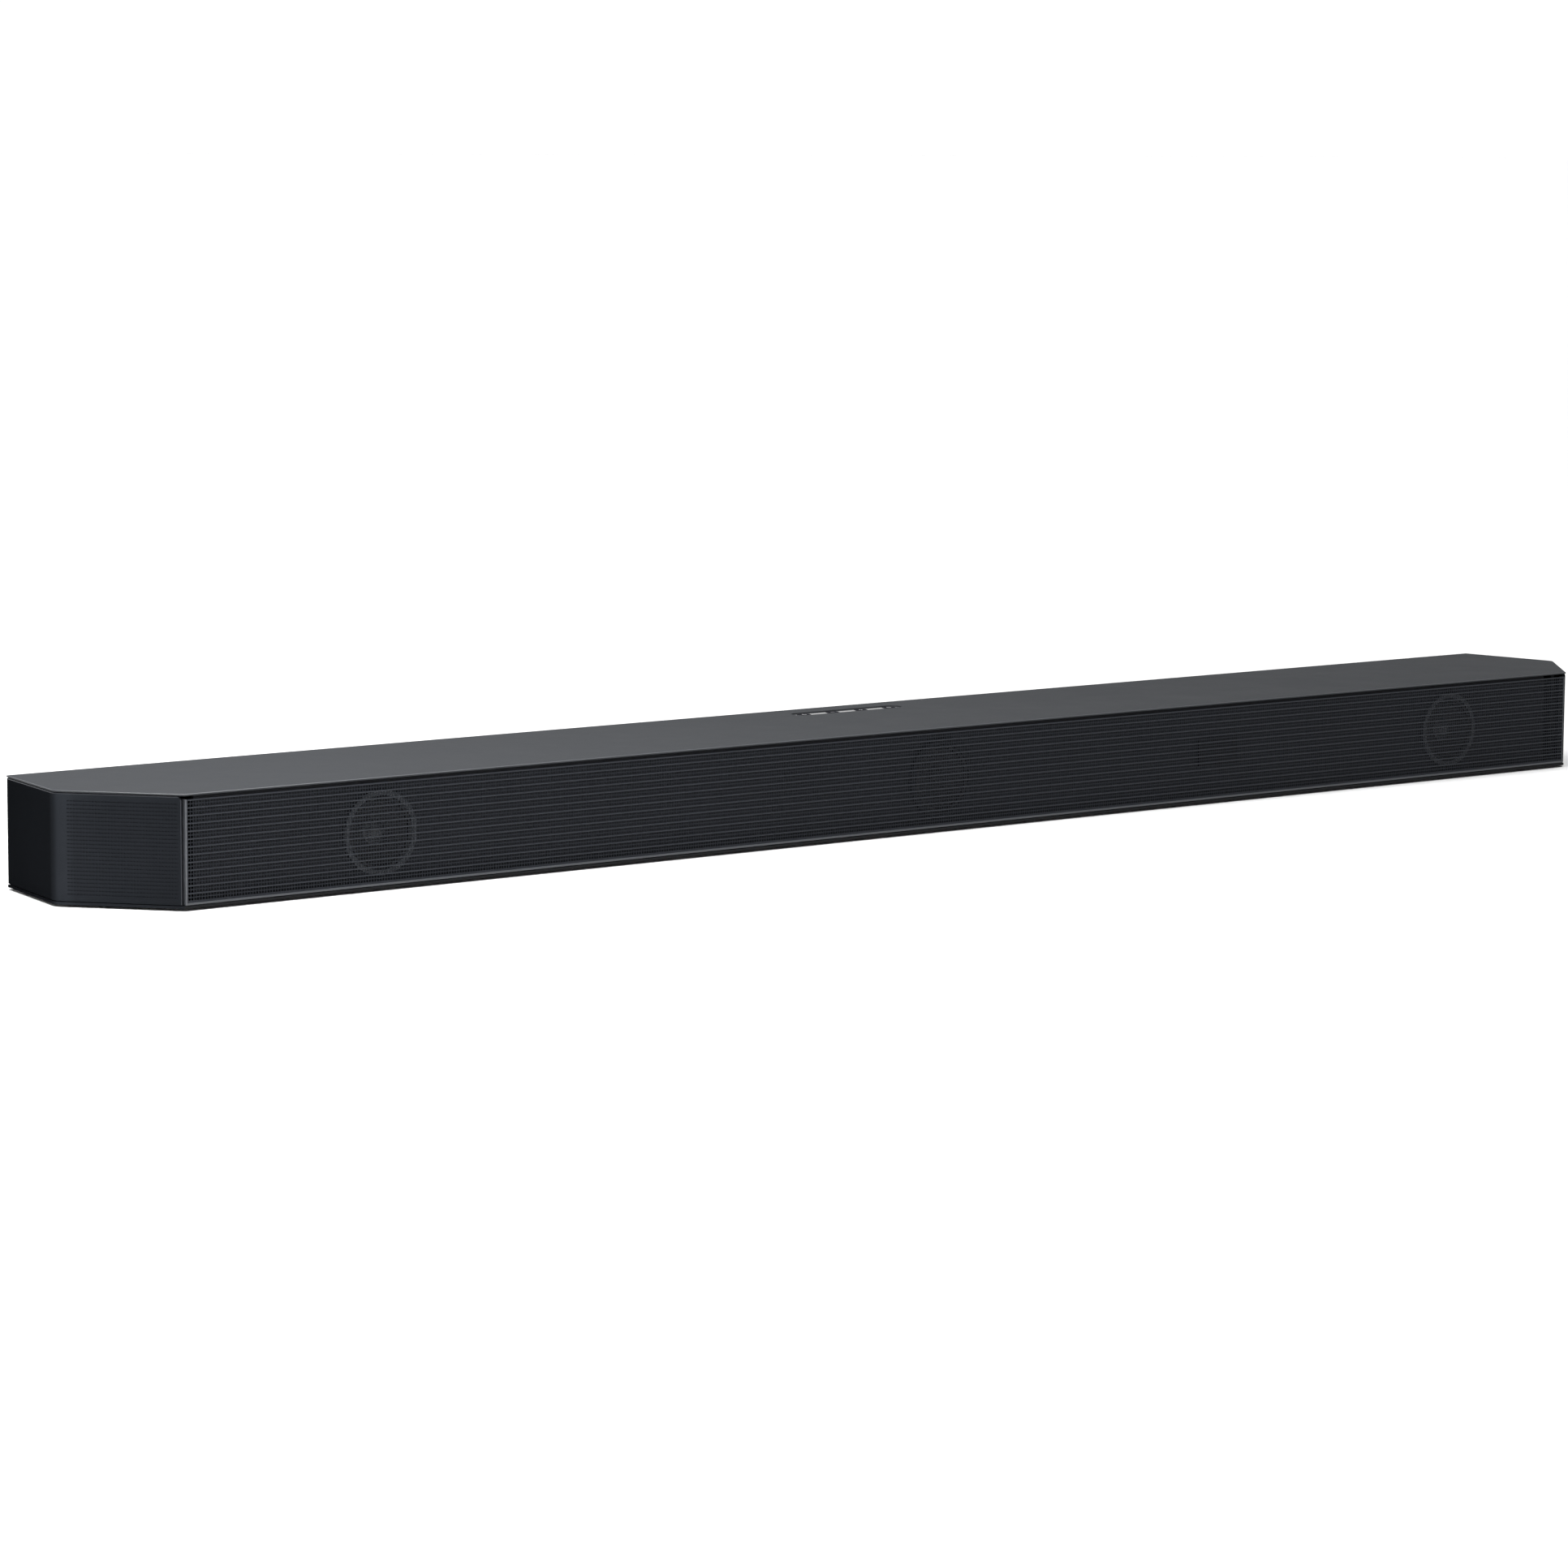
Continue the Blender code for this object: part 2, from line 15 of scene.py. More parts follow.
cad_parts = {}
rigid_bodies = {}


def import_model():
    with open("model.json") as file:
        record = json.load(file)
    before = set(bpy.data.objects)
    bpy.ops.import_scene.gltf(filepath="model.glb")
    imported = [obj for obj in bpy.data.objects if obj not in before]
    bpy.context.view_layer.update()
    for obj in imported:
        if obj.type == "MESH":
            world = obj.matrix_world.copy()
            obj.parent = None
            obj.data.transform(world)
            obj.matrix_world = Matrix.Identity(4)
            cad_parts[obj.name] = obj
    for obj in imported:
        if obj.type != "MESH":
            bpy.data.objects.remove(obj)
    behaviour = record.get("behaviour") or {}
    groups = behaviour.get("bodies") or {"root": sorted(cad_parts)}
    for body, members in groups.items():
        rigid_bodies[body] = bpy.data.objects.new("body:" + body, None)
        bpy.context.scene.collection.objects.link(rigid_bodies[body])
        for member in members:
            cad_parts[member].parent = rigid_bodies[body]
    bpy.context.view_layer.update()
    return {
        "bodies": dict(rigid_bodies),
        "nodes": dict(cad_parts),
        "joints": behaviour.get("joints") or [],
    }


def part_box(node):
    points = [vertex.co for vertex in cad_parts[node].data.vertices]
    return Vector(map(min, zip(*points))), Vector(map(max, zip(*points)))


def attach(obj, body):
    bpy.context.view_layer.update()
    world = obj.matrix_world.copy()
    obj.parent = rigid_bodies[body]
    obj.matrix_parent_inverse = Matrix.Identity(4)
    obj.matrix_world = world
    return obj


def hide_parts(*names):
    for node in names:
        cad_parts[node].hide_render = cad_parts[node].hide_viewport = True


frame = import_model()
nodes = frame["nodes"]
scene = bpy.context.scene
MM = 0.001
CASE = "case"

# Camera and studio
CAMERA_PLACE = (-1.87942, -2.26846, 0.39814)
CAMERA_TURN = tuple(math.radians(angle) for angle in (82.70, -0.35, -38.49))
LENS_MM = 117.42
SENSOR_MM = 36.0
FLOOR_HALF = 60.0
GLOW_TOP = 0.035  # sine of the elevation where the bright horizon starts to fade
GLOW_END = 0.35
HORIZON_LIGHT = 1.05
ZENITH_LIGHT = 0.25
SUN_POWER = 2.9
SUN_WIDTH = math.radians(50)
AREA_LIGHTS = {  # place, aim, size, power
    "front_light": ((-0.9, -2.4, 1.6), (0, 0, 0.03), (1.6, 1.0), 8.0),
    "left_light": ((-0.55, -0.10, 0.78), (-0.55, -0.08, 0), (0.4, 0.4), 9.0),
    "strip_light": ((-2.6, -0.55, 0.6), (-0.55, 0, 0.03), (0.25, 1.2), 6.0),
}

# Front grille
COLUMN_PITCH = 1.70 * MM
ROW_PITCH = 2.01 * MM
ROW_GAPS = 26
TOP_BAR = 0.4 * MM  # centre of the highest bar, below the sheet's top edge
WIRE_WIDTH = 0.44 * MM
THIN_BAR = 0.50 * MM
THICK_BAR = 0.80 * MM
RIB_HEIGHT = 0.30 * MM  # how far the thick bars stand in front of the mesh
LIP_HEIGHT = 1.2 * MM  # the painted highlight along the sheet's bottom, a lighter strip
MESH_THICKNESS = 0.30 * MM
FOLD_RADIUS = 0.7 * MM
FOLD_MARGIN = 0.8 * MM
FOLD_DEPTH = 4.0 * MM
GRILLE_PIECES = 4

# End caps
BEND_RADIUS = 8.0 * MM
BEND_BEHIND_FRONT = 53.4 * MM
CAP_START = 1.6 * MM
CAP_THICKNESS = 2.0 * MM
CAP_ROUND = 0.6 * MM
CAP_HOLE_LENGTH = 1.30 * MM
CAP_HOLE_HEIGHT = 0.55 * MM
CAP_MARGIN_FRONT = 1.6 * MM
CAP_MARGIN_BEND = 2.0 * MM
CAP_MARGIN_EDGE = 2.2 * MM
CAP_CORNER_RADIUS = 3.0 * MM
CLOTH_DEPTH = 0.28 * MM  # behind the cap's outer face
CAP_CORNER_SHARE = 0.8  # how much of the upper front corner's arc is taken off
CLOTH_THICKNESS = 0.3 * MM
END_TONE_AND_PAINTED_LIGHT = (  # place along Y in millimetres, factor on the plastic's colour: a painted highlight near the bend that fades towards the front, and a darker side behind it, partly two-tone plastic and partly painted shade across the bend
    (-60, 0.62),
    (-32, 0.70),
    (-16, 0.80),
    (-11.5, 1.0),
    (-8.5, 0.95),
    (-4.5, 0.5),
    (0, 0.27),
    (60, 0.24),
)

# Top, keys and strip
TOP_ROUND = 0.30 * MM
STRIP_GAP = 0.3 * MM
KEY_RADIUS = 3.9 * MM
KEY_SKIRT = 2.0 * MM
KEY_COLLAR_RADIUS = 1.25 * KEY_RADIUS
KEY_COLLAR_THICKNESS = 0.8 * MM
KEY_STEM_RADIUS = 1.5 * MM
KEY_DISH = ((0.0, 0.16), (0.5, 0.13), (0.8, 0.04), (0.9, 0.0), (0.96, 0.05), (1.0, 0.3))  # radii, mm down
KEY_MARK_WIDTH = 0.35 * MM
KEY_MARK_RADIUS = 1.4 * MM
KEY_MARK_BOTTOM = 0.30 * MM  # both below the key's top
KEY_MARK_TOP = 0.08 * MM
KEY_MARK_ROUND = 0.03 * MM
POWER_STROKE_CENTER = 1.2 * MM
POWER_STROKE_HALF = 0.8 * MM
POWER_RING_GAP = math.radians(38)  # half of the ring's opening

# Rear panel: two groups of upright vent slots
VENT_CENTER_X = 210.0 * MM
VENT_COUNT = 24
VENT_PITCH = 6.0 * MM
VENT_WIDTH = 2.0 * MM
VENT_ROWS = ((14.0 * MM, 28.0 * MM), (32.0 * MM, 46.0 * MM))
PANEL_GAP = 0.3 * MM

# Sockets, set back from their mouths
TONGUE_BACK = 12.0 * MM
TONGUE_TIP = 2.5 * MM
TONGUE_HALF_WIDTH = 5.6 * MM
TONGUE_UNDER = 0.2 * MM
TONGUE_OVER = 1.1 * MM
CONTACT_COUNT = 9
CONTACT_PITCH = 1.1 * MM
CONTACT_HALF_WIDTH = 0.25 * MM
PIN_OFFSET = 4.3 * MM
PIN_SETBACK = 3.0 * MM
FERRULE_SETBACK = 4.0 * MM

# Underside
TRAY_ROUND = 0.25 * MM
# depth of the tray's front edge that keeps the darkest plastic as painted shade
TRAY_FRONT_EDGE = 0.5 * MM
SCREW_HOLE_RADIUS = 3.0 * MM
PAD_LIFT = 0.45 * MM
PAD_ROUND = 0.3 * MM
FOOT_RIBS = 4
FOOT_RIB_PITCH = 2.3 * MM
FOOT_RIB_HALF = 0.6 * MM
FOOT_RIB_MARGIN = 4.0 * MM
FOOT_RIB_HEIGHT = 0.8 * MM
# the screw slots are dark boxes laid on the heads as painted shade, not cut in
RECESS_HALF_LENGTH = 1.5 * MM
RECESS_HALF_WIDTH = 0.28 * MM
RECESS_BELOW = 0.02 * MM
RECESS_ABOVE = 0.3 * MM

FLAT = 0.97  # a face whose normal is this close to vertical is flat


# ---------------------------------------------------------------- materials


def node(tree, kind, place=(0, 0), **settings):
    made = tree.nodes.new(kind)
    made.location = place
    for name, value in settings.items():
        setattr(made, name, value)
    return made


def noise(tree, vector, scale, detail=2.0, roughness=0.5):
    made = node(tree, "ShaderNodeTexNoise")
    made.inputs["Scale"].default_value = scale
    made.inputs["Detail"].default_value = detail
    made.inputs["Roughness"].default_value = roughness
    tree.links.new(vector, made.inputs["Vector"])
    return made.outputs["Fac"]


def spread(tree, value, low, high):
    """Maps a noise value, which stays mostly between 0.3 and 0.7, onto low to high."""
    made = node(tree, "ShaderNodeMapRange")
    made.inputs["From Min"].default_value = 0.3
    made.inputs["From Max"].default_value = 0.7
    made.inputs["To Min"].default_value = low
    made.inputs["To Max"].default_value = high
    tree.links.new(value, made.inputs["Value"])
    return made.outputs["Result"]


def shade(colour, factor):
    return tuple(min(1.0, channel * factor) for channel in colour) + (1.0,)


def finish(
    name,
    colour,
    roughness,
    metallic=0.0,
    specular=0.5,
    tone=0.10,
    tone_scale=25.0,
    speck=0.10,
    grain_scale=3500.0,
    grain_height=0.02 * MM,
    stretch=(1.0, 1.0, 1.0),
    coat=0.0,
):
    """A Principled material whose colour, roughness and surface vary at two scales."""
    made = bpy.data.materials.new(name)
    made.use_nodes = True
    tree = made.node_tree
    shader = tree.nodes["Principled BSDF"]
    shader.inputs["Metallic"].default_value = metallic
    shader.inputs["Specular IOR Level"].default_value = specular
    shader.inputs["Coat Weight"].default_value = coat
    where = node(tree, "ShaderNodeTexCoord").outputs["Object"]
    mapping = node(tree, "ShaderNodeMapping")
    mapping.inputs["Scale"].default_value = stretch
    tree.links.new(where, mapping.inputs["Vector"])
    where = mapping.outputs["Vector"]
    broad = noise(tree, where, tone_scale, detail=3.0)
    fine = noise(tree, where, grain_scale, detail=2.0)
    blend = node(tree, "ShaderNodeMix", data_type="RGBA")
    blend.inputs["A"].default_value = shade(colour, 1.0 - tone)
    blend.inputs["B"].default_value = shade(colour, 1.0 + tone)
    tree.links.new(broad, blend.inputs["Factor"])
    specks = node(tree, "ShaderNodeMix", data_type="RGBA", blend_type="MULTIPLY")
    specks.inputs["Factor"].default_value = 1.0
    tree.links.new(blend.outputs["Result"], specks.inputs["A"])
    grey = node(tree, "ShaderNodeCombineColor")
    level = spread(tree, fine, 1.0 - speck, 1.0 + speck)
    for channel in ("Red", "Green", "Blue"):
        tree.links.new(level, grey.inputs[channel])
    tree.links.new(grey.outputs["Color"], specks.inputs["B"])
    tree.links.new(specks.outputs["Result"], shader.inputs["Base Color"])
    rough = spread(tree, broad, roughness - 0.04, roughness + 0.04)
    tree.links.new(rough, shader.inputs["Roughness"])
    bump = node(tree, "ShaderNodeBump")
    bump.inputs["Strength"].default_value = 1.0
    bump.inputs["Distance"].default_value = grain_height
    tree.links.new(fine, bump.inputs["Height"])
    tree.links.new(bump.outputs["Normal"], shader.inputs["Normal"])
    return made


top_paint = finish(
    "top_paint", (0.037, 0.039, 0.0425), 0.62, specular=0.05, tone=0.05, speck=0.14, grain_scale=2600
)
# lighter copy of the top paint for the top plate's rounded rim: a painted highlight
edge_painted_highlight = finish("edge_painted_highlight", (0.064, 0.068, 0.075), 0.38, specular=0.4, speck=0.05)
# lighter copy of the grille paint for its folded ends: a painted highlight
fold_painted_highlight = finish("fold_painted_highlight", (0.066, 0.070, 0.078), 0.38, specular=0.4, speck=0.05)
grille_paint = finish("grille_paint", (0.0155, 0.0175, 0.022), 0.48, specular=0.10, speck=0.06)
# lighter copy of the grille paint for the thick bars: a painted highlight
rib_painted_highlight = finish("rib_painted_highlight", (0.0195, 0.022, 0.0275), 0.42, specular=0.18, speck=0.06)
# lighter copy of the grille paint for its bottom edge: a painted highlight
lip_painted_highlight = finish("lip_painted_highlight", (0.060, 0.064, 0.071), 0.40, specular=0.3, speck=0.05)
# lighter paint for the end caps' rounded top and front edges: a painted highlight
cap_edge_painted_highlight = finish("cap_edge_painted_highlight", (0.026, 0.028, 0.034), 0.36, specular=0.2, speck=0.05)
# end-cap plastic; its colour is graded along Y below with a painted highlight by the bend and painted shade
# across it
end_plastic_painted_light = finish("end_plastic_painted_light", (0.0215, 0.024, 0.0285), 0.45, specular=0.0, speck=0.08)
cloth = finish(
    "cloth", (0.015, 0.0165, 0.0195), 0.9, specular=0.0, grain_scale=1800, grain_height=0.1 * MM
)
case_plastic = finish(
    "case_plastic", (0.013, 0.0138, 0.0155), 0.55, specular=0.2, grain_scale=1500, grain_height=0.05 * MM
)
# dark plastic of the base; on the tray's front edge and on the screw slots it is painted shade
dark_plastic_and_painted_shade = finish(
    "dark_plastic_and_painted_shade", (0.008, 0.0085, 0.0095), 0.6, specular=0.1, grain_scale=1500, grain_height=0.05 * MM
)
strip_plastic = finish("strip_plastic", (0.045, 0.047, 0.052), 0.22, coat=0.7, speck=0.04)
key_plastic = finish("key_plastic", (0.018, 0.018, 0.021), 0.5, specular=0.0, speck=0.05)
mark_paint = finish("mark_paint", (0.30, 0.30, 0.31), 0.5, speck=0.04)
baffle_plastic = finish("baffle_plastic", (0.019, 0.020, 0.023), 0.75, specular=0.1)
ring_paint = finish("ring_paint", (0.045, 0.049, 0.057), 0.42, specular=0.4, speck=0.05)
surround_rubber = finish("surround_rubber", (0.016, 0.016, 0.018), 0.6, specular=0.3, grain_scale=900)
cone_paper = finish("cone_paper", (0.020, 0.020, 0.022), 0.75, specular=0.2, speck=0.35, grain_scale=1200)
cap_paper = finish("cap_paper", (0.034, 0.036, 0.042), 0.40, speck=0.1)
magnet_black = finish("magnet_black", (0.020, 0.020, 0.022), 0.55, specular=0.2)
board_black = finish("board_black", (0.006, 0.0065, 0.007), 0.5, specular=0.1)
board_green = finish("board_green", (0.02, 0.12, 0.05), 0.45)
sink_aluminium = finish("sink_aluminium", (0.70, 0.70, 0.72), 0.35, metallic=1.0, stretch=(1, 0.05, 1))
socket_steel = finish("socket_steel", (0.40, 0.40, 0.42), 0.30, metallic=1.0, speck=0.04)
contact_brass = finish("contact_brass", (0.80, 0.58, 0.25), 0.3, metallic=1.0, speck=0.04)
socket_plastic = finish("socket_plastic", (0.018, 0.018, 0.019), 0.5)
foot_rubber = finish(
    "foot_rubber", (0.016, 0.016, 0.016), 0.9, specular=0.2, grain_scale=900, grain_height=0.06 * MM
)
screw_steel = finish("screw_steel", (0.16, 0.16, 0.17), 0.35, metallic=1.0)
floor_paint = finish(
    "floor_paint",
    (0.86, 0.86, 0.86),
    0.9,
    specular=0.1,
    tone=0.01,
    speck=0.01,
    tone_scale=2.0,
    grain_scale=60,
)


def grade_from_front_to_rear(material, stops):
    """Scales a material's colour along Y, painting light and shade into it; stops are (place, factor)
    pairs.
    """
    tree = material.node_tree
    shader = tree.nodes["Principled BSDF"]
    colour = shader.inputs["Base Color"].links[0].from_socket
    split = node(tree, "ShaderNodeSeparateXYZ")
    tree.links.new(node(tree, "ShaderNodeTexCoord").outputs["Object"], split.inputs["Vector"])
    low, high = stops[0][0], stops[-1][0]
    along = node(tree, "ShaderNodeMapRange")
    along.inputs["From Min"].default_value = low
    along.inputs["From Max"].default_value = high
    tree.links.new(split.outputs["Y"], along.inputs["Value"])
    ramp = node(tree, "ShaderNodeValToRGB")
    ramp.color_ramp.interpolation = "EASE"
    elements = ramp.color_ramp.elements
    while len(elements) < len(stops):
        elements.new(0.5)
    for element, (place, factor) in zip(elements, stops):
        element.position = (place - low) / (high - low)
        element.color = (factor, factor, factor, 1.0)
    tree.links.new(along.outputs["Result"], ramp.inputs["Fac"])
    scaled_colour = node(tree, "ShaderNodeMix", data_type="RGBA", blend_type="MULTIPLY")
    scaled_colour.inputs["Factor"].default_value = 1.0
    tree.links.new(colour, scaled_colour.inputs["A"])
    tree.links.new(ramp.outputs["Color"], scaled_colour.inputs["B"])
    tree.links.new(scaled_colour.outputs["Result"], shader.inputs["Base Color"])


grade_from_front_to_rear(end_plastic_painted_light, [(place * MM, factor) for place, factor in END_TONE_AND_PAINTED_LIGHT])


# ---------------------------------------------------------------- geometry


def piece_of(name, work, *materials, smooth_below=math.radians(35)):
    """Turns a bmesh into a piece of the scene."""
    mesh = bpy.data.meshes.new(name)
    work.to_mesh(mesh)
    work.free()
    for material in materials:
        mesh.materials.append(material)
    mesh.shade_smooth()
    mesh.set_sharp_from_angle(angle=smooth_below)
    piece = bpy.data.objects.new(name, mesh)
    scene.collection.objects.link(piece)
    return piece


def piece_from(name, points, faces, *materials, smooth_below=math.radians(30)):
    mesh = bpy.data.meshes.new(name)
    mesh.from_pydata([tuple(point) for point in points], [], [tuple(face) for face in faces])
    work = bmesh.new()
    work.from_mesh(mesh)
    bpy.data.meshes.remove(mesh)
    return piece_of(name, work, *materials, smooth_below=smooth_below)


def install(piece, body, slot, *replaced):
    """The piece rides on a body and stands for CAD nodes, which it hides; the slot is not used."""
    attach(piece, body)
    if replaced:
        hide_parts(*replaced)
    return piece


def straight(start, end):
    """Samples of a straight run seen from above: place and outward direction at both ends."""
    start, end = Vector(start), Vector(end)
    along = (end - start).normalized()
    outward = (along.y, -along.x)
    return [(*start, *outward), (*end, *outward)]


def bend(before, corner, after, radius, steps=14):
    """Samples of an arc that rounds a convex corner, walked with the outside on the right."""
    corner = Vector(corner)
    arriving = (corner - Vector(before)).normalized()
    leaving = (Vector(after) - corner).normalized()
    turn = arriving.angle(leaving)
    start = corner - arriving * radius * math.tan(turn / 2)
    outward = Vector((arriving.y, -arriving.x))
    center = start - outward * radius
    first = math.atan2(outward.y, outward.x)
    samples = []
    for step in range(steps + 1):
        angle = first + turn * step / steps
        normal = Vector((math.cos(angle), math.sin(angle)))
        samples.append((*(center + normal * radius), *normal))
    return samples


def walk(samples):
    """Distance along the samples, and a function that gives the samples at any distances."""
    samples = np.array(samples, float)
    steps = np.hypot(*(samples[1:, :2] - samples[:-1, :2]).T)
    reach = np.concatenate([[0.0], np.cumsum(steps)])

    def at(distances):
        return np.stack([np.interp(distances, reach, samples[:, k]) for k in range(4)], axis=1)

    return reach, at


def sheet(name, samples, across, heights, open_cell, inset, thickness, material, drop=None):
    """A bent sheet with square holes, as one closed mesh.

    samples is its path seen from above; across and heights are where its lines run along the
    path and up; open_cell[i, j] says which cells are holes; inset[i, j] sinks each crossing's
    outer point; drop[i, j] lowers it.
    """
    _, at = walk(samples)
    line = at(np.array(across))
    count_u, count_v = len(across), len(heights)
    level = np.broadcast_to(np.array(heights), (count_u, count_v))
    if drop is not None:
        level = level - drop

    def side(depth):
        x = line[:, 0:1] - line[:, 2:3] * depth
        y = line[:, 1:2] - line[:, 3:4] * depth
        return np.stack([x, y, level], axis=2).reshape(-1, 3)

    points = np.concatenate([side(inset), side(np.full((count_u, count_v), thickness))])
    index = np.arange(count_u * count_v).reshape(count_u, count_v)
    behind = index + count_u * count_v
    solid = ~open_cell
    a, b, c, d = (index[:-1, :-1], index[1:, :-1], index[1:, 1:], index[:-1, 1:])
    faces = [np.stack([corner[solid] for corner in (a, b, c, d)], axis=1)]
    a, b, c, d = (behind[:-1, :-1], behind[1:, :-1], behind[1:, 1:], behind[:-1, 1:])
    faces.append(np.stack([corner[solid] for corner in (a, d, c, b)], axis=1))
    padded = np.pad(solid, 1)
    above, below = padded[1:-1, 1:], padded[1:-1, :-1]
    for wanted, order in ((above & ~below, (0, 2, 3, 1)), (below & ~above, (0, 1, 3, 2))):
        four = (index[:-1], index[1:], behind[:-1], behind[1:])
        faces.append(np.stack([four[k][wanted] for k in order], axis=1))
    right, left = padded[1:, 1:-1], padded[:-1, 1:-1]
    for wanted, order in ((right & ~left, (0, 1, 3, 2)), (left & ~right, (0, 2, 3, 1))):
        four = (index[:, :-1], index[:, 1:], behind[:, :-1], behind[:, 1:])
        faces.append(np.stack([four[k][wanted] for k in order], axis=1))
    return piece_from(name, points, np.concatenate(faces).tolist(), material)


def lathe(name, profile, pose, material, steps=64, second=None, split=None):
    """A turned piece: profile points are (radius, height) along the pose's Z, going down the
    outer side. Faces inside the split radius take the second material."""
    work = bmesh.new()
    rings = []
    for radius, height in profile:
        if radius == 0:
            rings.append([work.verts.new((0, 0, height))] * steps)
            continue
        turns = [2 * math.pi * step / steps for step in range(steps)]
        rings.append([work.verts.new((radius * math.cos(a), radius * math.sin(a), height)) for a in turns])
    pairs = list(zip(rings, rings[1:]))
    if profile[0][0] > 0:
        pairs.append((rings[-1], rings[0]))
    for upper, lower in pairs:
        for step in range(steps):
            after = (step + 1) % steps
            corners = [upper[step], lower[step], lower[after], upper[after]]
            work.faces.new(list(dict.fromkeys(corners)))
    if second is not None:
        for face in work.faces:
            face.material_index = int(face.calc_center_median().xy.length < split)
    bmesh.ops.recalc_face_normals(work, faces=work.faces)
    bmesh.ops.transform(work, matrix=pose, verts=work.verts)
    return piece_of(name, work, *([material] if second is None else [material, second]))


def arc(center, radius, start, end, steps):
    """Profile points on an arc, angles in degrees."""
    angles = np.radians(np.linspace(start, end, steps + 1))
    return [(center[0] + radius * math.cos(a), center[1] + radius * math.sin(a)) for a in angles]


def soft_boxes(name, boxes, material, radius=0.3 * MM, segments=2):
    """Boxes with rounded edges in one piece, each given by its low and high corners."""
    work = bmesh.new()
    for low, high in boxes:
        low, high = Vector(low), Vector(high)
        made = bmesh.ops.create_cube(work, size=1.0)["verts"]
        bmesh.ops.scale(work, vec=high - low, verts=made)
        bmesh.ops.translate(work, vec=(low + high) / 2, verts=made)
    bmesh.ops.bevel(work, geom=work.edges[:], offset=radius, segments=segments, affect="EDGES", profile=0.5)
    return piece_of(name, work, material)


def plate(name, outlines, low, high, radius, material, edge_highlight_material=None):
    """A flat piece between two heights. The first outline is its outside, the others are holes.

    Its edges are rounded, and the outside's upper rounded faces take the second material, a lighter paint
    as painted highlight."""
    curve = bpy.data.curves.new(name, "CURVE")
    curve.dimensions = "2D"
    curve.fill_mode = "BOTH"
    curve.extrude = (high - low) / 2
    for outline in outlines:
        spline = curve.splines.new("POLY")
        spline.points.add(len(outline) - 1)
        for point, (x, y) in zip(spline.points, outline):
            point.co = (x, y, 0, 1)
        spline.use_cyclic_u = True
    guide = bpy.data.objects.new(name + "_outline", curve)
    scene.collection.objects.link(guide)
    graph = bpy.context.evaluated_depsgraph_get()
    mesh = bpy.data.meshes.new_from_object(guide.evaluated_get(graph))
    bpy.data.objects.remove(guide)
    work = bmesh.new()
    work.from_mesh(mesh)
    bpy.data.meshes.remove(mesh)
    bmesh.ops.remove_doubles(work, verts=work.verts, dist=0.01 * MM)
    bmesh.ops.dissolve_limit(work, angle_limit=math.radians(1), verts=work.verts, edges=work.edges)
    sharp = [edge for edge in work.edges if edge.calc_face_angle(0) > math.radians(60)]
    rims = [edge for edge in sharp if abs(edge.verts[0].co.z - edge.verts[1].co.z) < 0.01 * MM]
    bmesh.ops.bevel(work, geom=rims, offset=radius, segments=3, affect="EDGES", profile=0.5)
    if edge_highlight_material is not None:
        hole = np.array(outlines[1])
        hole_low, hole_high = hole.min(axis=0) - 2 * radius, hole.max(axis=0) + 2 * radius
        for face in work.faces:
            x, y, _ = face.calc_center_median()
            by_hole = hole_low[0] < x < hole_high[0] and hole_low[1] < y < hole_high[1]
            face.material_index = int(0.1 < face.normal.z < FLAT and not by_hole)
    bmesh.ops.translate(work, vec=(0, 0, (low + high) / 2), verts=work.verts)
    piece = piece_of(name, work, *([material] if edge_highlight_material is None else [material, edge_highlight_material]))
    for face in piece.data.polygons:
        face.use_smooth = abs(face.normal.z) < FLAT
    return piece


def racetrack(low, high, steps=12):
    """A long outline with half-round ends, inside a box seen from above."""
    radius = (high[1] - low[1]) / 2
    middle_y = (high[1] + low[1]) / 2
    points = []
    for center_x, start in ((high[0] - radius, -math.pi / 2), (low[0] + radius, math.pi / 2)):
        for step in range(steps + 1):
            angle = start + math.pi * step / steps
            points.append((center_x + radius * math.cos(angle), middle_y + radius * math.sin(angle)))
    return points


def circle(center, radius, steps=32):
    angles = [2 * math.pi * step / steps for step in range(steps)]
    return [(center[0] + radius * math.cos(a), center[1] + radius * math.sin(a)) for a in angles]


# ---------------------------------------------------------------- camera, floor and light


def make_camera():
    data = bpy.data.cameras.new("camera")
    data.lens = LENS_MM
    data.sensor_width = SENSOR_MM
    camera = bpy.data.objects.new("camera", data)
    camera.location = CAMERA_PLACE
    camera.rotation_euler = CAMERA_TURN
    scene.collection.objects.link(camera)
    scene.camera = camera


def make_floor():
    work = bmesh.new()
    bmesh.ops.create_grid(work, x_segments=1, y_segments=1, size=FLOOR_HALF)
    mesh = bpy.data.meshes.new("floor")
    work.to_mesh(mesh)
    work.free()
    mesh.materials.append(floor_paint)
    floor = bpy.data.objects.new("floor", mesh)
    scene.collection.objects.link(floor)


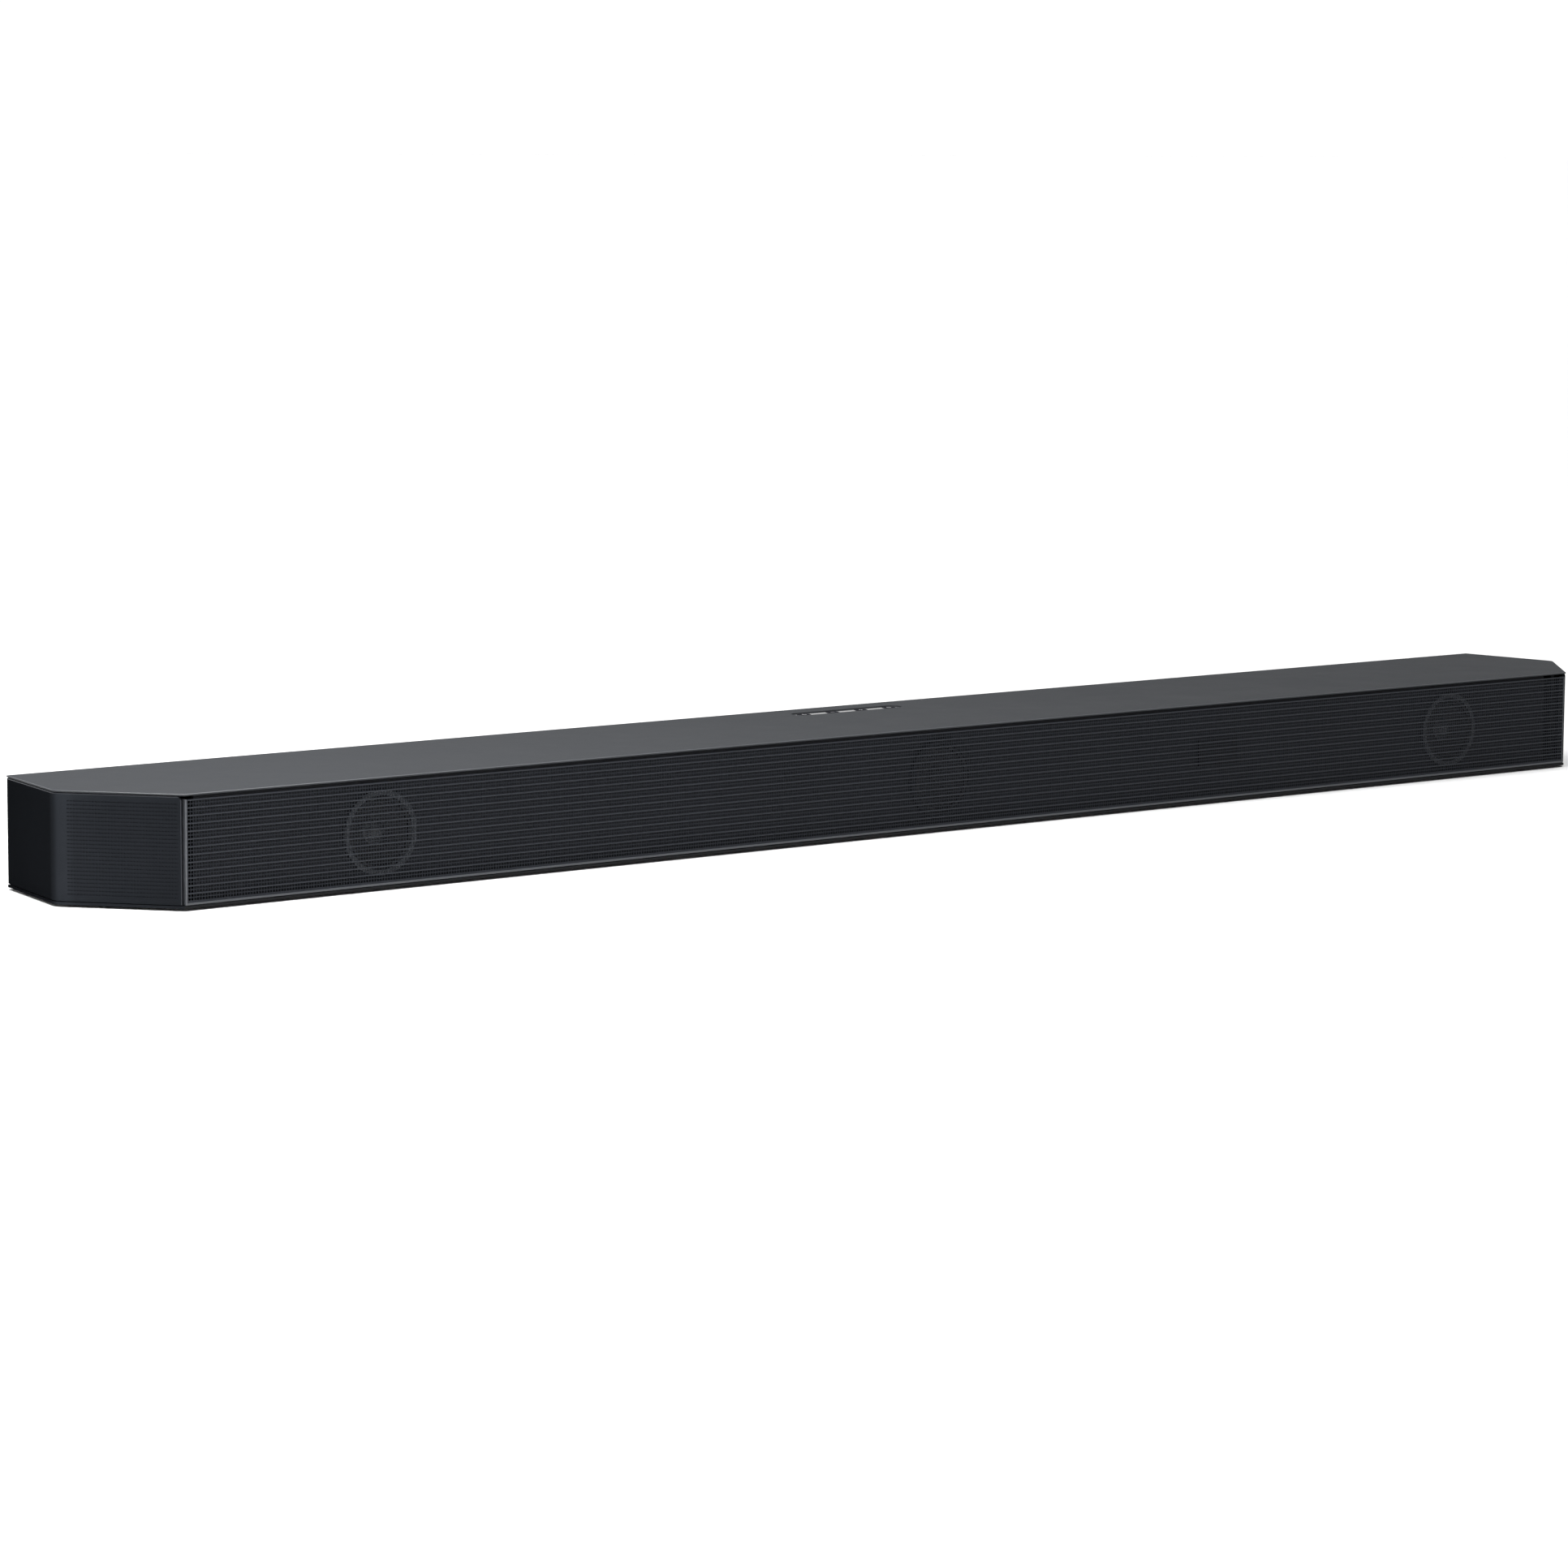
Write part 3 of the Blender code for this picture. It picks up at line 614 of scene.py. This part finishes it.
def make_world():
    """A bright band along the horizon under a dimmer dome."""
    world = bpy.data.worlds.new("studio")
    scene.world = world
    world.use_nodes = True
    tree = world.node_tree
    tree.nodes.clear()
    where = node(tree, "ShaderNodeTexCoord").outputs["Generated"]
    split = node(tree, "ShaderNodeSeparateXYZ")
    tree.links.new(where, split.inputs["Vector"])
    fade = node(tree, "ShaderNodeMapRange")
    fade.inputs["From Min"].default_value = GLOW_TOP
    fade.inputs["From Max"].default_value = GLOW_END
    fade.inputs["To Min"].default_value = HORIZON_LIGHT
    fade.inputs["To Max"].default_value = ZENITH_LIGHT
    tree.links.new(split.outputs["Z"], fade.inputs["Value"])
    background = node(tree, "ShaderNodeBackground")
    background.inputs["Color"].default_value = (1.0, 1.0, 1.0, 1.0)
    tree.links.new(fade.outputs["Result"], background.inputs["Strength"])
    output = node(tree, "ShaderNodeOutputWorld")
    tree.links.new(background.outputs["Background"], output.inputs["Surface"])


def make_sun():
    data = bpy.data.lights.new("overhead", "SUN")
    data.energy = SUN_POWER
    data.angle = SUN_WIDTH
    scene.collection.objects.link(bpy.data.objects.new("overhead", data))


def make_light(name, place, aim, size, power):
    data = bpy.data.lights.new(name, "AREA")
    data.shape = "RECTANGLE"
    data.size, data.size_y = size
    data.energy = power
    light = bpy.data.objects.new(name, data)
    light.location = place
    light.rotation_euler = (Vector(aim) - Vector(place)).to_track_quat("-Z", "Y").to_euler()
    scene.collection.objects.link(light)


# ---------------------------------------------------------------- front grille

grille_low, grille_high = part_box("front_grille")
plate_low, plate_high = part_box("bottom_plate")
outline = np.array([vertex.co[:2] for vertex in nodes["bottom_plate"].data.vertices])
front_half = outline[outline[:, 1] < plate_low.y + 0.1 * MM, 0].max()
rear_half = outline[outline[:, 1] > plate_high.y - 0.1 * MM, 0].max()


def grille_lines():
    """Heights of the mesh's lines, from the sheet's bottom to its top, and its bars' heights."""
    bars = [grille_high.z - TOP_BAR - ROW_PITCH * (ROW_GAPS - row) for row in range(ROW_GAPS + 1)]
    halves = [(THIN_BAR if row % 2 else THICK_BAR) / 2 for row in range(ROW_GAPS + 1)]
    heights = [grille_low.z]
    for row in range(ROW_GAPS):
        heights += [bars[row] + halves[row], bars[row + 1] - halves[row + 1]]
    heights.append(grille_high.z)
    return heights, bars


def make_front_grille():
    low_x, high_x, front_y = grille_low.x, grille_high.x, grille_low.y
    behind = front_y + FOLD_DEPTH
    corners = [(low_x, behind), (low_x, front_y), (high_x, front_y), (high_x, behind)]
    samples = [straight(corners[0], corners[1])[0]]
    samples += bend(*corners[0:3], FOLD_RADIUS, 6)
    samples += bend(*corners[1:4], FOLD_RADIUS, 6)
    samples.append(straight(corners[2], corners[3])[1])
    reach, _ = walk(samples)
    heights, bars = grille_lines()
    start, end = reach[7] + FOLD_MARGIN, reach[8] - FOLD_MARGIN
    columns = round((end - start + WIRE_WIDTH) / COLUMN_PITCH)
    pitch = (end - start + WIRE_WIDTH) / columns
    hole_starts = start + pitch * np.arange(columns)
    hole_ends = hole_starts + pitch - WIRE_WIDTH
    seams = [0, *(round(columns * k / GRILLE_PIECES) for k in range(1, GRILLE_PIECES)), columns]
    for number, (first, last) in enumerate(zip(seams, seams[1:]), start=1):
        across = []
        if first == 0:
            across += list(reach[:8])
        for k in range(first, last):
            across += [hole_starts[k], hole_ends[k]]
        if first > 0:
            across.insert(0, hole_ends[first - 1] + WIRE_WIDTH / 2)
        across += list(reach[8:]) if last == columns else [hole_ends[last - 1] + WIRE_WIDTH / 2]
        across = np.array(across)
        middles = (across[1:] + across[:-1]) / 2
        slots = (middles - start) % pitch < pitch - WIRE_WIDTH
        is_open = slots & (middles > start) & (middles < end)
        rows = np.arange(len(heights) - 1) % 2 == 1
        open_cell = is_open[:, None] & rows[None, :]
        sunk = (across > start - 0.01 * MM) & (across < end + 0.01 * MM)
        inset = np.where(sunk, RIB_HEIGHT, 0.0)[:, None] + np.zeros(len(heights))
        thickness = RIB_HEIGHT + MESH_THICKNESS
        mesh = sheet(
            f"grille_mesh_{number}", samples, across, heights, open_cell, inset, thickness, grille_paint
        )
        # faces at the folded ends take the lighter fold paint: a painted highlight
        mesh.data.materials.append(fold_painted_highlight)
        for face in mesh.data.polygons:
            face.material_index = int(abs(face.center.x) > high_x - FOLD_RADIUS * 0.9)
        install(mesh, CASE, "grille_paint", "front_grille")
    make_ribs(bars)


def make_strips(name, strips, material):
    """Rounded strips in front of the mesh, given as pairs of centre height and half height."""
    half_length = grille_high.x - FOLD_RADIUS - 0.2 * MM
    front_y = grille_low.y
    points, faces = [], []
    soft = 0.25 * MM
    for height, half in strips:
        section = [
            (0.55 * MM, -half),
            (0.15 * MM, -half),
            (0.04 * MM, -half + soft / 2),
            (0.0, -half + soft),
            (0.0, half - soft),
            (0.04 * MM, half - soft / 2),
            (0.15 * MM, half),
            (0.55 * MM, half),
        ]
        first = len(points)
        count = len(section)
        for x in (-half_length, half_length):
            points += [(x, front_y + depth, height + up) for depth, up in section]
        for k in range(count):
            after = (k + 1) % count
            faces.append((first + k, first + after, first + count + after, first + count + k))
        faces.append(tuple(first + k for k in reversed(range(count))))
        faces.append(tuple(first + count + k for k in range(count)))
    piece = piece_from(name, points, faces, material, smooth_below=math.radians(50))
    install(piece, CASE, "grille_paint", "front_grille")


def make_ribs(bars):
    """The thick bars and the sheet's bottom edge, both painted lighter than the mesh as painted highlight.
    """
    thick = [(bars[row], THICK_BAR / 2) for row in range(2, ROW_GAPS + 1, 2)]
    make_strips("grille_ribs", thick, rib_painted_highlight)
    make_strips("grille_lip", [(grille_low.z + LIP_HEIGHT / 2, LIP_HEIGHT / 2)], lip_painted_highlight)


# ---------------------------------------------------------------- end caps


def cap_path():
    """The left end from the rear corner round the bend to the front, outside on the right."""
    front = Vector((-front_half, plate_low.y))
    rear = Vector((-rear_half, plate_high.y))
    widest = Vector((plate_low.x, plate_low.y + BEND_BEHIND_FRONT))
    arc_samples = bend(rear, widest, front, BEND_RADIUS)
    widest.x -= min(sample[0] for sample in arc_samples) - plate_low.x
    arc_samples = bend(rear, widest, front, BEND_RADIUS)
    along = (front - widest).normalized()
    end = front - along * CAP_START
    outward = (along.y, -along.x)
    side = straight(rear, widest)[0]
    return [side, *arc_samples, (*end, *outward)]


def mirror_samples(samples):
    return [(-x, y, -nx, ny) for x, y, nx, ny in reversed(samples)]


def rounded_lines(low, high, radius, steps=4):
    """Lines close together at each end, and how far each sinks to round that edge off."""
    angles = np.linspace(0, math.pi / 2, steps + 1)
    offsets = radius * (1 - np.cos(angles))
    sinks = radius * (1 - np.sin(angles))
    lines = np.concatenate([low + offsets, high - offsets[::-1]])
    return lines, np.concatenate([sinks, sinks[::-1]])


def make_end_cap(name, samples, mirrored):
    low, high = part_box(name)
    reach, _ = walk(samples)
    total = reach[-1]
    bend_end = reach[-2]  # where the bevel becomes straight
    holes_low = bend_end + CAP_MARGIN_BEND
    holes_high = total - CAP_MARGIN_FRONT
    columns = int((holes_high - holes_low) / COLUMN_PITCH)
    starts = holes_high - COLUMN_PITCH * (np.arange(columns)[::-1] + 1)
    rows = int((high.z - low.z - 2 * CAP_MARGIN_EDGE) / ROW_PITCH)
    spare = (high.z - low.z - rows * ROW_PITCH + ROW_PITCH - CAP_HOLE_HEIGHT) / 2
    row_starts = low.z + spare + ROW_PITCH * np.arange(rows)
    edge_u, sink_u = rounded_lines(0.0, total, CAP_ROUND)
    edge_v, sink_v = rounded_lines(low.z, high.z, CAP_ROUND)
    across = np.concatenate([edge_u, reach[1:-1], starts, starts + CAP_HOLE_LENGTH])
    sinks = np.concatenate([sink_u, np.zeros(len(across) - len(edge_u))])
    corner = np.linspace(total - CAP_CORNER_RADIUS, total - CAP_ROUND, 5)[1:-1]
    across, sinks = np.concatenate([across, corner]), np.concatenate([sinks, np.zeros(3)])
    order = np.argsort(across)
    across, sinks = across[order], sinks[order]
    heights = np.concatenate([edge_v, row_starts, row_starts + CAP_HOLE_HEIGHT])
    sinks_v = np.concatenate([sink_v, np.zeros(2 * rows)])
    order = np.argsort(heights)
    heights, sinks_v = heights[order], sinks_v[order]
    middle_u = (across[1:] + across[:-1]) / 2
    middle_v = (heights[1:] + heights[:-1]) / 2
    open_u = np.array([np.any((starts < m) & (m < starts + CAP_HOLE_LENGTH)) for m in middle_u])
    open_v = np.array([np.any((row_starts < m) & (m < row_starts + CAP_HOLE_HEIGHT)) for m in middle_v])
    inset = np.maximum(sinks[:, None], sinks_v[None, :])
    past = np.clip(across - (total - CAP_CORNER_RADIUS), 0, CAP_CORNER_RADIUS)
    lowering = CAP_CORNER_RADIUS - np.sqrt(np.maximum(CAP_CORNER_RADIUS**2 - past**2, 0))
    share = np.clip((heights - (high.z - CAP_CORNER_RADIUS * 1.2)) / (CAP_CORNER_RADIUS * 1.2), 0, 1)
    drop = lowering[:, None] * share[None, :] * CAP_CORNER_SHARE
    path = samples
    open_cell = open_u[:, None] & open_v[None, :]
    if mirrored:
        path = mirror_samples(samples)
        across = total - across[::-1]
        open_cell, inset, drop = open_cell[::-1], inset[::-1], drop[::-1]
    cap = sheet(name + "_shell", path, across, heights, open_cell, inset, CAP_THICKNESS, end_plastic_painted_light, drop)
    cap.data.materials.append(cap_edge_painted_highlight)
    front_y = samples[-1][1] + CAP_ROUND * 0.5
    # the top and front edges take the lighter paint: a painted highlight
    for face in cap.data.polygons:
        face.material_index = int(face.center.z > high.z - CAP_ROUND * 0.9 or face.center.y < front_y)
    install(cap, CASE, "end_paint", name)
    behind = np.array([starts[0] - 1.5 * MM, holes_high + 0.5 * MM])
    if mirrored:
        behind = total - behind[::-1]
    lines = np.array([row_starts[0] - 1.5 * MM, row_starts[-1] + 2.5 * MM])
    depth = np.full((2, 2), CLOTH_DEPTH)
    no_holes = np.zeros((1, 1), bool)
    back = CLOTH_DEPTH + CLOTH_THICKNESS
    backing = sheet(name + "_cloth", path, behind, lines, no_holes, depth, back, cloth)
    install(backing, CASE, "end_paint")


# ---------------------------------------------------------------- drivers


UNSHADED_DRIVERS = ("left_speaker", "right_speaker")  # these two take a lighter ring and dust cap; the others take darker copies as painted shade, so their rims don't show through the mesh
DUST_CAP_RADIUS = 7.0 * MM


def driver_pose(node_name, outward):
    """The driver's frame: Z out along its axis, from the centre of its flange's front face."""
    points = np.array([vertex.co[:] for vertex in nodes[node_name].data.vertices])
    reach = points @ np.array(outward)
    center = points[reach > reach.max() - 0.01 * MM].mean(axis=0)
    turn = math.atan2(outward[0], -outward[1])
    return Matrix.Translation(center) @ Euler((math.pi / 2, 0, turn)).to_matrix().to_4x4()


def scaled(points):
    """Profile points given in millimetres."""
    return [(radius * MM, height * MM) for radius, height in points]


FRAME_PROFILE = scaled(
    [
        (19.7, -1.0),
        (19.7, -0.4),
        (19.85, -0.1),
        (20.2, 0.0),
        (22.4, 0.0),
        (22.8, -0.1),
        (23.0, -0.5),
        (23.0, -2.2),
        (21.2, -2.2),
        (16.0, -13.4),
        (11.0, -13.4),
        (11.0, -12.0),
        (14.6, -12.0),
        (19.0, -1.8),
        (21.9, -1.6),
        (21.9, -1.0),
    ]
)
SURROUND_PROFILE = scaled(
    [
        *arc((18.5, -1.1), 1.1, 180, 0, 10),
        (21.7, -1.1),
        (21.7, -1.45),
        (19.4, -1.45),
        *arc((18.5, -1.3), 0.8, 0, 180, 8),
        (17.4, -1.4),
    ]
)
CONE_PROFILE = scaled(
    [
        (0.0, -3.0),
        *arc((0.0, -10.5), 7.5, 80, 35, 5),
        (7.0, -6.6),
        (17.0, -1.1),
        (17.0, -1.7),
        (7.2, -7.4),
        (7.0, -15.0),
        (6.4, -15.0),
        (6.4, -8.6),
        (0.0, -4.4),
    ]
)


def make_driver(name, outward):
    pose = driver_pose(f"{name}_frame", outward)
    seen = name in UNSHADED_DRIVERS
    # the other drivers get a darker ring and dust cap: painted shade
    ring = lathe(f"{name}_basket", FRAME_PROFILE, pose, ring_paint if seen else baffle_plastic)
    install(ring, CASE, "frame_metal", f"{name}_frame")
    roll = lathe(f"{name}_roll", SURROUND_PROFILE, pose, surround_rubber)
    install(roll, CASE, "surround_rubber", f"{name}_surround")
    dust_cap = cap_paper if seen else cone_paper
    cone = lathe(
        f"{name}_diaphragm", CONE_PROFILE, pose, cone_paper, second=dust_cap, split=DUST_CAP_RADIUS
    )
    install(cone, f"{name}_cone", "cone_paper", f"{name}_cone")


# ---------------------------------------------------------------- top and keys


def end_outline(left_samples):
    """The whole case seen from above, from the left end's samples."""
    left = [sample[:2] for sample in left_samples[:-1]] + [(-front_half, plate_low.y)]
    return left + [(-x, y) for x, y in reversed(left)]


def make_top_cover(left_samples):
    low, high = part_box("top_cover")
    outline = end_outline(left_samples)
    strip_low, strip_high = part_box("key_strip")
    gap = Vector((STRIP_GAP, STRIP_GAP, 0))
    slot = racetrack(strip_low - gap, strip_high + gap)
    top = plate("top_plate", [outline, slot], low.z, high.z, TOP_ROUND, top_paint, edge_painted_highlight)
    install(top, CASE, "top_paint", "top_cover")


def make_bottom_tray(left_samples):
    """The base: its front edge keeps the darkest plastic, painted shade for the dark line below the mesh;
    its other edges take the end caps' plastic with its painted light.
    """
    low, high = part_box("bottom_plate")
    outline = end_outline(left_samples)
    holes = []
    for name in nodes:
        if name.startswith("case_screw"):
            screw_low, screw_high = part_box(name)
            holes.append(circle((screw_low + screw_high) / 2, SCREW_HOLE_RADIUS, 24))
    tray = plate("bottom_tray", [outline, *holes], low.z, high.z, TRAY_ROUND, dark_plastic_and_painted_shade)
    tray.data.materials.append(end_plastic_painted_light)
    # the front edge stays darkest as painted shade; the other edges take the end caps' plastic
    for face in tray.data.polygons:
        behind_front = face.center.y > low.y + TRAY_FRONT_EDGE
        face.material_index = int(abs(face.normal.z) < FLAT and behind_front)
    install(tray, CASE, "case_plastic", "bottom_plate")


def key_profile(low, high):
    """A dished key with its collar and stem, heights above the origin."""
    dish = [(share * KEY_RADIUS, high.z - down * MM) for share, down in KEY_DISH]
    collar_top = high.z - KEY_SKIRT
    collar_bottom = collar_top - KEY_COLLAR_THICKNESS
    return [
        *dish,
        (KEY_RADIUS, collar_top),
        (KEY_COLLAR_RADIUS, collar_top),
        (KEY_COLLAR_RADIUS, collar_bottom),
        (KEY_STEM_RADIUS, collar_bottom),
        (KEY_STEM_RADIUS, low.z),
        (0.0, low.z),
    ]


def power_outline(center, steps=24):
    """A ring that is open towards +Y."""
    angles = np.linspace(math.pi / 2 + POWER_RING_GAP, 5 * math.pi / 2 - POWER_RING_GAP, steps + 1)
    inside = KEY_MARK_RADIUS - KEY_MARK_WIDTH
    outer = [(KEY_MARK_RADIUS * math.cos(a), KEY_MARK_RADIUS * math.sin(a)) for a in angles]
    inner = [(inside * math.cos(a), inside * math.sin(a)) for a in reversed(angles)]
    return [(center.x + x, center.y + y) for x, y in outer + inner]


def key_mark(name, center):
    """A key's mark: outlines for its ring, if it has one, and (x, y, half x, half y) strokes."""
    half = KEY_MARK_WIDTH / 2
    across = (0, 0, KEY_MARK_RADIUS, half)
    if name == "key_power":
        return [power_outline(center)], [(0, POWER_STROKE_CENTER, half, POWER_STROKE_HALF)]
    if name == "key_volume_down":
        return [], [across]
    if name == "key_volume_up":
        return [], [across, (0, 0, half, KEY_MARK_RADIUS)]
    rings = [circle(center, KEY_MARK_RADIUS), circle(center, KEY_MARK_RADIUS - KEY_MARK_WIDTH)]
    return rings, [(0, 0, half, half)]


def make_keys():
    for name in frame["bodies"]:
        if not name.startswith("key_"):
            continue
        low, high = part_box(name)
        center = (low + high) / 2
        pose = Matrix.Translation((center.x, center.y, 0))
        button = lathe(f"{name}_button", key_profile(low, high), pose, key_plastic, 48)
        install(button, name, "key_plastic", name)
        bottom, top = high.z - KEY_MARK_BOTTOM, high.z - KEY_MARK_TOP
        rings, strokes = key_mark(name, center)
        if rings:
            ring = plate(f"{name}_ring", rings, bottom, top, KEY_MARK_ROUND, mark_paint)
            install(ring, name, "key_plastic")
        boxes = []
        for offset_x, offset_y, half_x, half_y in strokes:
            x, y = center.x + offset_x, center.y + offset_y
            boxes.append(((x - half_x, y - half_y, bottom), (x + half_x, y + half_y, top)))
        mark = soft_boxes(f"{name}_mark", boxes, mark_paint, KEY_MARK_ROUND, 1)
        install(mark, name, "key_plastic")


# ---------------------------------------------------------------- back and underside


def make_rear_panel():
    low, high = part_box("rear_panel")
    bay_low, bay_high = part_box("connector_bay")
    path = straight((high.x, high.y), (low.x, high.y))
    group_start = -(VENT_COUNT - 1) * VENT_PITCH / 2 - VENT_WIDTH / 2
    first = np.arange(VENT_COUNT) * VENT_PITCH + group_start
    starts = np.concatenate([high.x - VENT_CENTER_X + first, high.x + VENT_CENTER_X + first])
    bay = (high.x - bay_high.x - PANEL_GAP, high.x - bay_low.x + PANEL_GAP)
    bay_rows = (bay_low.z - PANEL_GAP, bay_high.z + PANEL_GAP)
    across, sink_u = rounded_lines(0.0, high.x - low.x, PANEL_GAP)
    across = np.concatenate([across, starts, starts + VENT_WIDTH, bay])
    sink_u = np.concatenate([sink_u, np.zeros(len(across) - len(sink_u))])
    heights, sink_v = rounded_lines(low.z, high.z, PANEL_GAP)
    heights = np.concatenate([heights, *VENT_ROWS, bay_rows])
    sink_v = np.concatenate([sink_v, np.zeros(len(heights) - len(sink_v))])
    order_u, order_v = np.argsort(across), np.argsort(heights)
    across, sink_u = across[order_u], sink_u[order_u]
    heights, sink_v = heights[order_v], sink_v[order_v]
    middle_u = (across[1:] + across[:-1]) / 2
    middle_v = (heights[1:] + heights[:-1]) / 2
    vent_u = np.array([np.any((starts < m) & (m < starts + VENT_WIDTH)) for m in middle_u])
    vent_v = np.array([any(a < m < b for a, b in VENT_ROWS) for m in middle_v])
    bay_u = (middle_u > bay[0]) & (middle_u < bay[1])
    bay_v = (middle_v > bay_rows[0]) & (middle_v < bay_rows[1])
    open_cell = (vent_u[:, None] & vent_v[None, :]) | (bay_u[:, None] & bay_v[None, :])
    inset = np.maximum(sink_u[:, None], sink_v[None, :])
    thickness = high.y - low.y
    panel = sheet("rear_sheet", path, across, heights, open_cell, inset, thickness, case_plastic)
    install(panel, CASE, "case_plastic", "rear_panel")


PIN_PROFILE = scaled([(0.0, 0.0), (0.8, -0.1), (1.1, -0.6), (1.15, -9.0), (0.0, -9.0)])
FERRULE_PROFILE = scaled([(0.8, 0.0), (1.6, 0.0), (2.0, -0.4), (2.2, -5.0), (0.8, -5.0)])


def facing_back(x, y, z):
    """A place whose Z points out of the bar's back."""
    return Matrix.Translation((x, y, z)) @ Euler((-math.pi / 2, 0, 0)).to_matrix().to_4x4()


def make_flat_socket_contacts(name):
    """The tongue in a flat socket, with a row of contacts under it."""
    low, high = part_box(name)
    middle = (low + high) / 2
    back, tip = high.y - TONGUE_BACK, high.y - TONGUE_TIP
    tongue_low = (middle.x - TONGUE_HALF_WIDTH, back, middle.z - TONGUE_UNDER)
    tongue_high = (middle.x + TONGUE_HALF_WIDTH, tip, middle.z + TONGUE_OVER)
    tongue = soft_boxes(f"{name}_tongue", [(tongue_low, tongue_high)], socket_plastic, 0.2 * MM)
    install(tongue, CASE, "socket_plastic")
    contacts = []
    for index in range(CONTACT_COUNT):
        x = middle.x + (index - (CONTACT_COUNT - 1) / 2) * CONTACT_PITCH
        contact_low = (x - CONTACT_HALF_WIDTH, back + 1.0 * MM, middle.z - 0.3 * MM)
        contact_high = (x + CONTACT_HALF_WIDTH, tip - 0.6 * MM, middle.z - 0.1 * MM)
        contacts.append((contact_low, contact_high))
    row = soft_boxes(f"{name}_contacts", contacts, contact_brass, 0.05 * MM, 1)
    install(row, CASE, "socket_steel")


def make_socket_details():
    """Tongues in the flat sockets, pins in the inlet and a ferrule in the optical socket."""
    for name in ("hdmi_socket_in", "hdmi_socket_out"):
        make_flat_socket_contacts(name)
    low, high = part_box("ac_inlet")
    middle = (low + high) / 2
    for side, offset in (("left", -PIN_OFFSET), ("right", PIN_OFFSET)):
        pose = facing_back(middle.x + offset, high.y - PIN_SETBACK, middle.z)
        pin = lathe(f"ac_pin_{side}", PIN_PROFILE, pose, socket_steel, 24)
        install(pin, CASE, "socket_steel")
    low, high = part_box("optical_socket")
    middle = (low + high) / 2
    pose = facing_back(middle.x, high.y - FERRULE_SETBACK, middle.z)
    ferrule = lathe("optical_ferrule", FERRULE_PROFILE, pose, socket_plastic, 24)
    install(ferrule, CASE, "socket_plastic")


def make_feet():
    for name in [name for name in nodes if name.startswith("foot_")]:
        low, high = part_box(name)
        outline = racetrack(low, high)
        pad = plate(f"{name}_pad", [outline], low.z + PAD_LIFT, high.z, PAD_ROUND, foot_rubber)
        install(pad, CASE, "foot_rubber", name)
        middle_y = (low.y + high.y) / 2
        left, right = low.x + FOOT_RIB_MARGIN, high.x - FOOT_RIB_MARGIN
        ribs = []
        for index in range(FOOT_RIBS):
            y = middle_y + (index - (FOOT_RIBS - 1) / 2) * FOOT_RIB_PITCH
            rib_low = (left, y - FOOT_RIB_HALF, low.z)
            ribs.append((rib_low, (right, y + FOOT_RIB_HALF, low.z + FOOT_RIB_HEIGHT)))
        install(soft_boxes(f"{name}_ribs", ribs, foot_rubber, 0.2 * MM), CASE, "foot_rubber")


def make_painted_screw_slots():
    """Dark crossed slots on the screw heads, seen from below: thin boxes just proud of each head, painted
    shade where slots would be cut in.
    """
    strokes = []
    along = (RECESS_HALF_LENGTH, RECESS_HALF_WIDTH)
    for name in [name for name in nodes if name.startswith("case_screw")]:
        low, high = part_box(name)
        x, y = (low.x + high.x) / 2, (low.y + high.y) / 2
        for half_x, half_y in (along, along[::-1]):
            stroke_low = (x - half_x, y - half_y, low.z - RECESS_BELOW)
            strokes.append((stroke_low, (x + half_x, y + half_y, low.z + RECESS_ABOVE)))
    install(soft_boxes("painted_screw_slots", strokes, dark_plastic_and_painted_shade, 0.05 * MM, 1), CASE, "screw_steel")


# ---------------------------------------------------------------- carried-over nodes

NODE_FINISHES = {
    "connector_bay": case_plastic,
    "key_strip": strip_plastic,
    "receiver_board": board_black,
    "heat_sink": sink_aluminium,
    "wireless_module": board_green,
    "optical_socket": socket_plastic,
    "ac_inlet": socket_plastic,
}
FINISH_BY_ENDING = {
    "_baffle": baffle_plastic,
    "_chamber": baffle_plastic,
    "_board": board_green,
    "_magnet": magnet_black,
}
FINISH_BY_START = {
    "hdmi_socket": socket_steel,
    "case_screw": screw_steel,
}


def dress_nodes():
    """Gives the CAD nodes that no piece replaces their finish."""
    for name, obj in nodes.items():
        material = NODE_FINISHES.get(name)
        for ending, other in FINISH_BY_ENDING.items():
            if name.endswith(ending) and material is None:
                material = other
        for start, other in FINISH_BY_START.items():
            if name.startswith(start) and material is None:
                material = other
        if material is not None:
            obj.data.materials.clear()
            obj.data.materials.append(material)
            obj.data.shade_smooth()
            obj.data.set_sharp_from_angle(angle=math.radians(30))


make_camera()
make_floor()
make_world()
scene.view_settings.view_transform = "Standard"
make_sun()
for light_name, light_settings in AREA_LIGHTS.items():
    make_light(light_name, *light_settings)
make_front_grille()
left_path = cap_path()
make_end_cap("end_cap_left", left_path, False)
make_end_cap("end_cap_right", left_path, True)
make_top_cover(left_path)
make_bottom_tray(left_path)
make_keys()
make_rear_panel()
make_socket_details()
make_feet()
make_painted_screw_slots()
for joint in frame["joints"]:
    if joint["child"].endswith("_cone"):
        make_driver(joint["child"].removesuffix("_cone"), joint["axis"])
dress_nodes()
